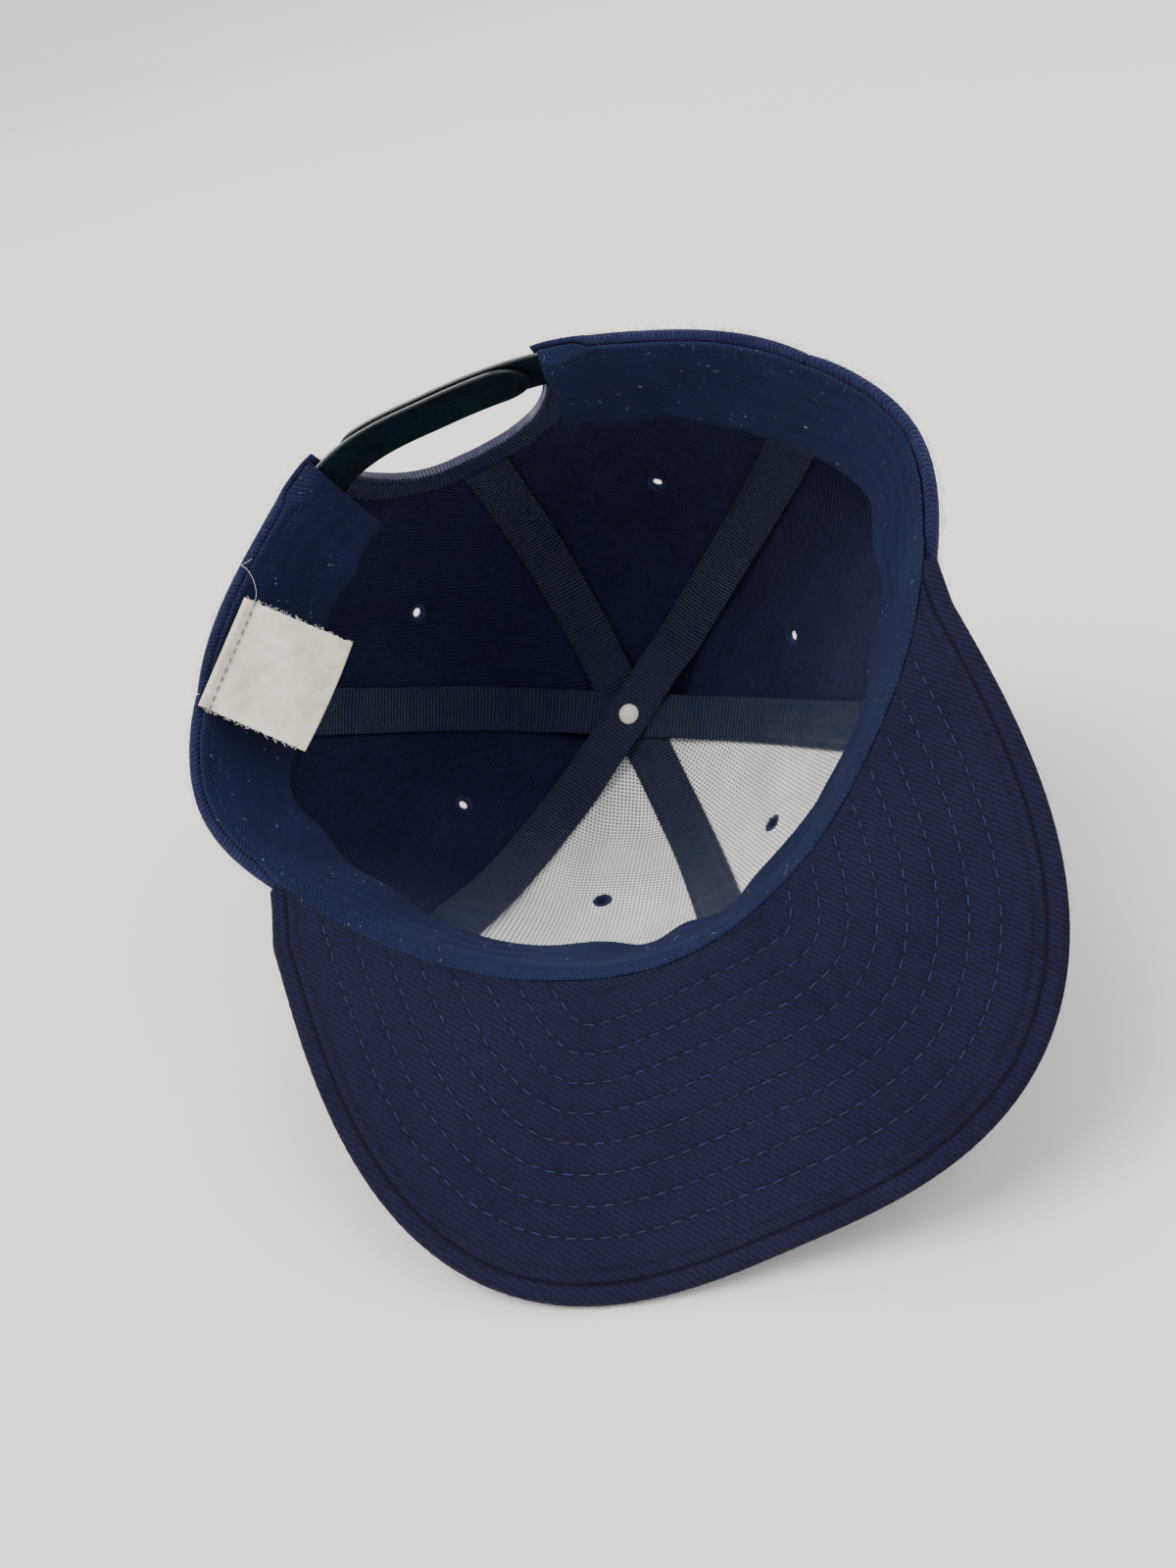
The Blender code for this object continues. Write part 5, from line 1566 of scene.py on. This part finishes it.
# Cotton twill of the sweatband: close diagonal ribs, a dull bloom and white lint
TWILL = make_material(
    "cotton_twill_band",
    {"Roughness": 0.88, "Sheen Weight": 0.10, "Sheen Roughness": 0.5, "Sheen Tint": "#7685c0",
     "Specular IOR Level": 0.22},
    noises=[("fuzz", 1600.0, 3.0, 0.6), ("patches", 75.0, 4.0, 0.6), ("lint", 900.0, 1.0, 0.4)],
    waves=[("yarn", 0.85, 52.0, "X", 1.2, 2.0, 1.6), ("thread", 0.62, 0.0, "X", 0.8, 1.0, 2.0)],
    sums=[
        ("tone", ("yarn", 0.26), ("fuzz", 0.34), ("patches", 0.30), ("thread", 0.08)),
        ("height", ("fuzz", 0.4), ("yarn", 0.8)),
    ],
    ramps=[
        ("color", "tone", (0.30, "#060b22"), (0.52, "#0a1333"), (0.74, "#152349")),
        ("specks", "lint", (0.765, 0.0), (0.80, 0.55)),
    ],
    tints=[("specks", "MIX", "#9fb0c8")],
    bumps=[("height", 0.00016, 0.9), ("patches", 0.0009, 0.35)],
)

# Starched cotton buckram: coarse open weave of white yarn, with the wool showing through
BUCKRAM = make_material(
    "open_buckram",
    {"Roughness": 0.9, "Specular IOR Level": 0.25},
    noises=[("slub", 900.0, 3.0, 0.6), ("stain", 55.0, 3.0, 0.6)],
    waves=[("warp", 1.3, 0.0, "X", 0.3, 2.0, 0.6), ("weft", 1.3, 0.0, "Y", 0.3, 2.0, 0.6)],
    maths=[
        ("yarn", "MAXIMUM", "warp", "weft"),
        ("uneven", "MULTIPLY_ADD", "slub", 0.25, "yarn"),
        ("over", "SUBTRACT", "warp", "weft"),
        ("height", "MULTIPLY_ADD", "over", 0.3, "uneven"),
    ],
    ramps=[
        ("color", "uneven", (0.40, "#2f364d"), (0.58, "#ccd2d4"), (0.78, "#f6f8f7"), (0.98, "#fcfdfc")),
        ("stained", "stain", (0.35, "#e6ebe8"), (0.65, "#ffffff")),
    ],
    tints=[(1.0, "MULTIPLY", "stained")],
    bumps=[("height", 0.00032, 1.0)],
)

# Moulded polythene of the snap strap: glossy, near black, a little see-through at its edges
PLASTIC = make_material(
    "moulded_strap_plastic",
    {"Coat Weight": 0.2, "Coat Roughness": 0.18, "IOR": 1.5, "Subsurface Weight": 0.10,
     "Subsurface Scale": 0.0025, "Subsurface Radius": (0.10, 0.7, 0.8), "Roughness": "gloss"},
    noises=[("flow", 60.0, 3.0, 0.5), ("grain", 1800.0, 2.0, 0.5), ("scuffs", 340.0, 4.0, 0.7)],
    ramps=[
        ("color", "flow", (0.30, "#030d15"), (0.70, "#07202a")),
        ("gloss", "scuffs", (0.40, 0.26), (0.72, 0.46)),
    ],
    bumps=[("grain", 0.00003, 0.5)],
)

# White woven satin: fine lengthwise floats with a low gloss, a little soiled in patches
SATIN = make_material(
    "woven_label_satin",
    {"Roughness": 0.6, "Sheen Weight": 0.12, "Specular IOR Level": 0.4, "Anisotropic": 0.4},
    noises=[("soil", 120.0, 4.0, 0.6), ("fuzz", 1500.0, 2.0, 0.6)],
    waves=[("floats", 0.42, 0.0, "Y", 0.2, 1.0, 1.0), ("picks", 0.6, 0.0, "X", 0.4, 1.0, 1.0)],
    sums=[("tone", ("floats", 0.25), ("fuzz", 0.35))],
    maths=[("weave", "MULTIPLY_ADD", "picks", 0.5, "floats")],
    ramps=[
        ("color", "tone", (0.10, "#bfbaa9"), (0.45, "#ded9cb")),
        ("worn", "soil", (0.35, "#e6e3d9"), (0.60, "#ffffff")),
    ],
    tints=[(1.0, "MULTIPLY", "worn")],
    bumps=[("weave", 0.00006, 0.8)],
)

# Off-white stoved paint on a pressed steel head, slightly uneven
PAINT = make_material(
    "stoved_rivet_paint",
    {"Roughness": 0.38, "Coat Weight": 0.3, "Coat Roughness": 0.2, "IOR": 1.5},
    noises=[("peel", 900.0, 2.0, 0.5), ("grime", 260.0, 4.0, 0.65)],
    ramps=[("color", "grime", (0.34, "#a9a695"), (0.46, "#d6d4c2"), (0.70, "#e6e4d6"))],
    bumps=[("peel", 0.00006, 0.6)],
)

# Matte pale board under the cap
BOARD = make_material(
    "pale_studio_board",
    {"Roughness": 0.85, "Specular IOR Level": 0.2},
    noises=[("tone", 1.2, 3.0, 0.5), ("fine", 900.0, 2.0, 0.5)],
    ramps=[("color", "tone", (0.30, "#e2e2de"), (0.70, "#e7e7e3"))],
    bumps=[("fine", 0.00004, 0.3)],
)

TAPE = ribbed_tape("ribbed_seam_tape", 1.25, "#030713", "#19294c")
BINDING = ribbed_tape("ribbed_binding_tape", 1.15, "#070c20", "#1c2950")
BLUE_THREAD = spun_thread("blue_quilting_thread", "#1c2446", "#303b64")
NAVY_THREAD = spun_thread("navy_sewing_thread", "#10172f", "#263355")
EYELET_THREAD = spun_thread("navy_eyelet_thread", "#121633", "#2a345a")
LABEL_THREAD = spun_thread("grey_blue_label_thread", "#3c465e", "#6d7890")
WHITE_THREAD = spun_thread("white_sewing_thread", "#b9b8b0", "#e8e7e0")
WOOL_FIBRE = spun_thread("wool_nap_fibre", "#090b20", "#15183a")
LINT_FIBRE = spun_thread("pale_lint", "#8d97ac", "#ccd2dc")


# Putting the cap together

ON_WOOL = PANEL_THICK + CLOTH_GAP
ON_BUCKRAM = ON_WOOL + BUCKRAM_THICK + CLOTH_GAP
TAPE_TUCK = 0.00015
BACK_FOOT = ARCH_HEIGHT + BINDING_WIDTH + GAP - BINDING_LAP - TAPE_TUCK

PANELS = [
    # name, first seam, last seam, side of the arch
    ("front_left", FRONT_SEAM, SIDE_SEAM, 0),
    ("front_right", mirrored(SIDE_SEAM), FRONT_SEAM, 0),
    ("side_left", SIDE_SEAM, REAR_SEAM, 0),
    ("side_right", mirrored(REAR_SEAM), mirrored(SIDE_SEAM), 0),
    ("back_left", REAR_SEAM, BACK_SEAM, 1),
    ("back_right", mirrored(BACK_SEAM), mirrored(REAR_SEAM), -1),
]
crown_pieces = []
for side, first, last, arch in PANELS:
    panel = make_panel(f"panel_{side}_cloth", first, last, arch, WOOL_INNER)
    open_eyelets(panel, first, last)
    crown_pieces.append(dress(panel, "wool_crown", f"panel_{side}"))
for side, first, last, _ in PANELS[:2]:
    backing = make_buckram(f"buckram_{side[6:]}_cloth", first, last, BUCKRAM)
    open_eyelets(backing, first, last)
    dress(backing, "buckram", f"buckram_{side[6:]}")

TAPES = [
    # name, seam, foot, depth and way of each half, layer, phase
    ("tape_front_back",
     ((FRONT_SEAM, TAPE_FOOT, ON_BUCKRAM, 1.0), (BACK_SEAM, BACK_FOOT, ON_WOOL, -1.0)), 0, 0.4),
    ("tape_right_left",
     ((mirrored(SIDE_SEAM), TAPE_FOOT, ON_BUCKRAM, 1.0), (REAR_SEAM, TAPE_FOOT, ON_WOOL, -1.0)), 1, 1.9),
    ("tape_left_right",
     ((SIDE_SEAM, TAPE_FOOT, ON_BUCKRAM, 1.0), (mirrored(REAR_SEAM), TAPE_FOOT, ON_WOOL, -1.0)), 2, 3.3),
]
for name, halves, layer, phase in TAPES:
    dress(make_tape(name + "_cloth", halves, layer, phase, TAPE), "seam_tape", name)

band = dress(make_sweatband(TWILL), "sweatband_twill", "sweatband")
brim = dress(make_brim(WOOL_BRIM), "wool_brim", "brim")
dress(make_binding(BINDING), "seam_tape", "arch_binding")
dress(make_strap_pegs(PLASTIC), "strap_plastic", "strap_pegs")
dress(make_strap_holes(PLASTIC), "strap_plastic", "strap_holes")
dress(make_button(WOOL_INNER), "wool_crown", "button")
dress(make_rivet(PAINT), "rivet_paint", "rivet")
for name, azimuth, climb, backed in EYELET_ROWS:
    dress(make_eyelet(name + "_thread", azimuth, climb, backed, EYELET_THREAD), "eyelet_thread", name)
label = dress(make_label(SATIN), "label_satin", "label")

dress(stitch_lines("brim_quilting", brim_stitch_lines(), BLUE_THREAD, QUILT_STITCH), "wool_brim")


TOP_POINTS = 120
TAPE_POINTS = 130
BAND_POINTS = 700
TOP_SINK = 0.00002
TAPE_LIFT = 0.00006
BAND_LIFT = 0.00004


def seam_lines():
    """Top stitching beside every seam, outside on the wool and inside on its tape."""
    outside, inside = [], []
    seams = [FRONT_SEAM, SIDE_SEAM, REAR_SEAM, BACK_SEAM, mirrored(SIDE_SEAM), mirrored(REAR_SEAM)]
    for seam in seams:
        foot = BACK_FOOT if seam == BACK_SEAM else FOLD_HEIGHT + 0.002
        climbs = np.linspace(climb_at(foot), 0.93, TOP_POINTS)
        for aside in (-STITCH_ASIDE, STITCH_ASIDE):
            path = tape_place(seam, climbs, aside, 0.0)
            above = crown_normal(seam_azimuth(seam, climbs), climbs)
            outside.append((path - above * TOP_SINK, above))
    for _, halves, layer, phase in TAPES:
        for seam, foot, base, sign in halves:
            climbs = np.linspace(float(climb_at(foot)) + 0.005, 0.985, TAPE_POINTS)
            spine = crown_point(seam_azimuth(seam, climbs), climbs, base)[:, None]
            run = run_along(spine)
            for side in (-STITCH_ASIDE, STITCH_ASIDE):
                aside = np.full((TAPE_POINTS, 1), side)
                relief = tape_relief(aside, sign * (run[-1:] - run) + phase, phase)
                depth = tape_depth(seam, climbs[:, None], base, layer) + TAPE_THICK + relief
                path = tape_place(seam, climbs[:, None], aside, depth + TAPE_LIFT)[:, 0]
                inside.append((path, -crown_normal(seam_azimuth(seam, climbs), climbs)))
    return outside, inside


outer_rows, inner_rows = seam_lines()
dress(stitch_lines("crown_top_stitching", outer_rows, NAVY_THREAD, TOP_STITCH), "wool_crown")
dress(stitch_lines("tape_stitching", inner_rows, NAVY_THREAD, TAPE_STITCH), "seam_tape")


def band_lines():
    """Line of the stitches that hold the sweatband to the rim."""
    end = ARCH_EDGE - 1.5
    azimuth = np.linspace(-end, end, BAND_POINTS)
    across = np.full(BAND_POINTS, BAND_STITCH_AT)
    path = band_point(azimuth, across, BAND_THICK + band_relief(azimuth, across) + BAND_LIFT)
    near = band_point(azimuth, across + 0.001, BAND_THICK)
    above = unit(np.cross(near - path, unit(np.gradient(path, axis=0))))
    return [(path, above if above[BAND_POINTS // 2, 1] >= 0.0 else -above)]


dress(stitch_lines("band_stitching", band_lines(), NAVY_THREAD, BAND_STITCH), "sweatband_twill")
dress(stitch_lines("label_stitching", label_threads(), LABEL_THREAD, LABEL_STITCH), "label_satin")
dress(loose_threads(WHITE_THREAD), "label_satin")

FUZZ = [
    # piece, name's ending, slot, fibres to the square metre, length, radius, seed, fibre
    *((part, "nap", "wool_crown", 60000.0, 0.0024, 0.000026, 20 + k, WOOL_FIBRE)
      for k, part in enumerate(crown_pieces)),
    (brim, "nap", "wool_brim", 40000.0, 0.0012, 0.000026, 31, WOOL_FIBRE),
    (band, "lint", "sweatband_twill", 3500.0, 0.0011, 0.00002, 41, LINT_FIBRE),
]
for piece, ending, slot, density, length, radius, seed, fibre in FUZZ:
    name = piece.name.replace("sweatband", "band").replace("cloth", ending)
    dress(grow(name, piece.data.copy(), FIBRES, {
        "Density": density, "Length": length, "Radius": radius, "Seed": seed, "Fibre": fibre,
    }), slot)


# Floor, light and camera

FLOOR_PROFILE = [(3.0, 0.0), (3.6, 0.0), (4.6, 0.10), (5.4, 0.5), (5.9, 1.2), (6.1, 2.2), (6.2, 4.0)]
FLOOR_SIDES = 96
LIGHT_TARGET = (0.0, 0.0, 0.05)


def make_floor(material):
    """Pale floor that curves up all round, far behind the cap."""
    mesh = bpy.data.meshes.new("studio_floor")
    shape = bmesh.new()
    turns = [2.0 * pi * k / FLOOR_SIDES for k in range(FLOOR_SIDES)]
    rings = [
        [shape.verts.new((reach * cos(turn), reach * sin(turn), height)) for turn in turns]
        for reach, height in FLOOR_PROFILE
    ]
    shape.faces.new(rings[0])
    for low, high in zip(rings, rings[1:]):
        for k in range(FLOOR_SIDES):
            after = (k + 1) % FLOOR_SIDES
            shape.faces.new((low[k], high[k], high[after], low[after]))
    shape.to_mesh(mesh)
    shape.free()
    mesh.materials.append(material)
    mesh.shade_smooth()
    return show("studio_floor", mesh)


def add_light(name, size, power, place, tint):
    """Soft square light that faces the middle of the cap."""
    data = bpy.data.lights.new(name, "AREA")
    data.shape = "SQUARE"
    data.size = size
    data.energy = power
    data.color = linear(tint)[:3]
    lamp = bpy.data.objects.new(name, data)
    lamp.location = place
    away = Vector(LIGHT_TARGET) - Vector(place)
    lamp.rotation_mode = "QUATERNION"
    lamp.rotation_quaternion = away.to_track_quat("-Z", "Y")
    bpy.context.scene.collection.objects.link(lamp)


def add_camera():
    """The photograph's camera, turned from the cap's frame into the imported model's."""
    angle = np.linalg.norm(CAMERA_TURN)
    axis = Vector(CAMERA_TURN).normalized()
    view = np.array(Matrix.Rotation(angle, 3, axis))
    place = to_frame(-view.T @ np.array(CAMERA_SHIFT))
    axes = np.stack([view[0], -view[1], -view[2]], 1)
    data = bpy.data.cameras.new("photo_camera")
    data.sensor_width = SENSOR_HEIGHT
    data.lens = FOCAL_PIXELS * SENSOR_HEIGHT / PHOTO_HEIGHT
    data.clip_start = 0.01
    data.clip_end = 20.0
    camera = bpy.data.objects.new("photo_camera", data)
    turned_axes = Matrix((BASIS @ axes).tolist()).to_4x4()
    camera.matrix_world = Matrix.Translation(Vector(place)) @ turned_axes
    bpy.context.scene.collection.objects.link(camera)
    bpy.context.scene.camera = camera


make_floor(BOARD)
add_light("key_softbox", 2.5, 204.0, (-2.1, -0.4, 3.8), "#fffaf4")
add_light("fill_softbox", 3.4, 86.0, (2.5, -2.0, 3.4), "#f4f6ff")
add_light("back_softbox", 2.8, 86.0, (0.6, 3.4, 3.6), "#f8f8ff")

world = bpy.data.worlds.new("soft_studio")
world.use_nodes = True
sky = world.node_tree.nodes["Background"]
sky.inputs["Color"].default_value = linear("#f1f1f2")
sky.inputs["Strength"].default_value = 1.05
bpy.context.scene.world = world
add_camera()
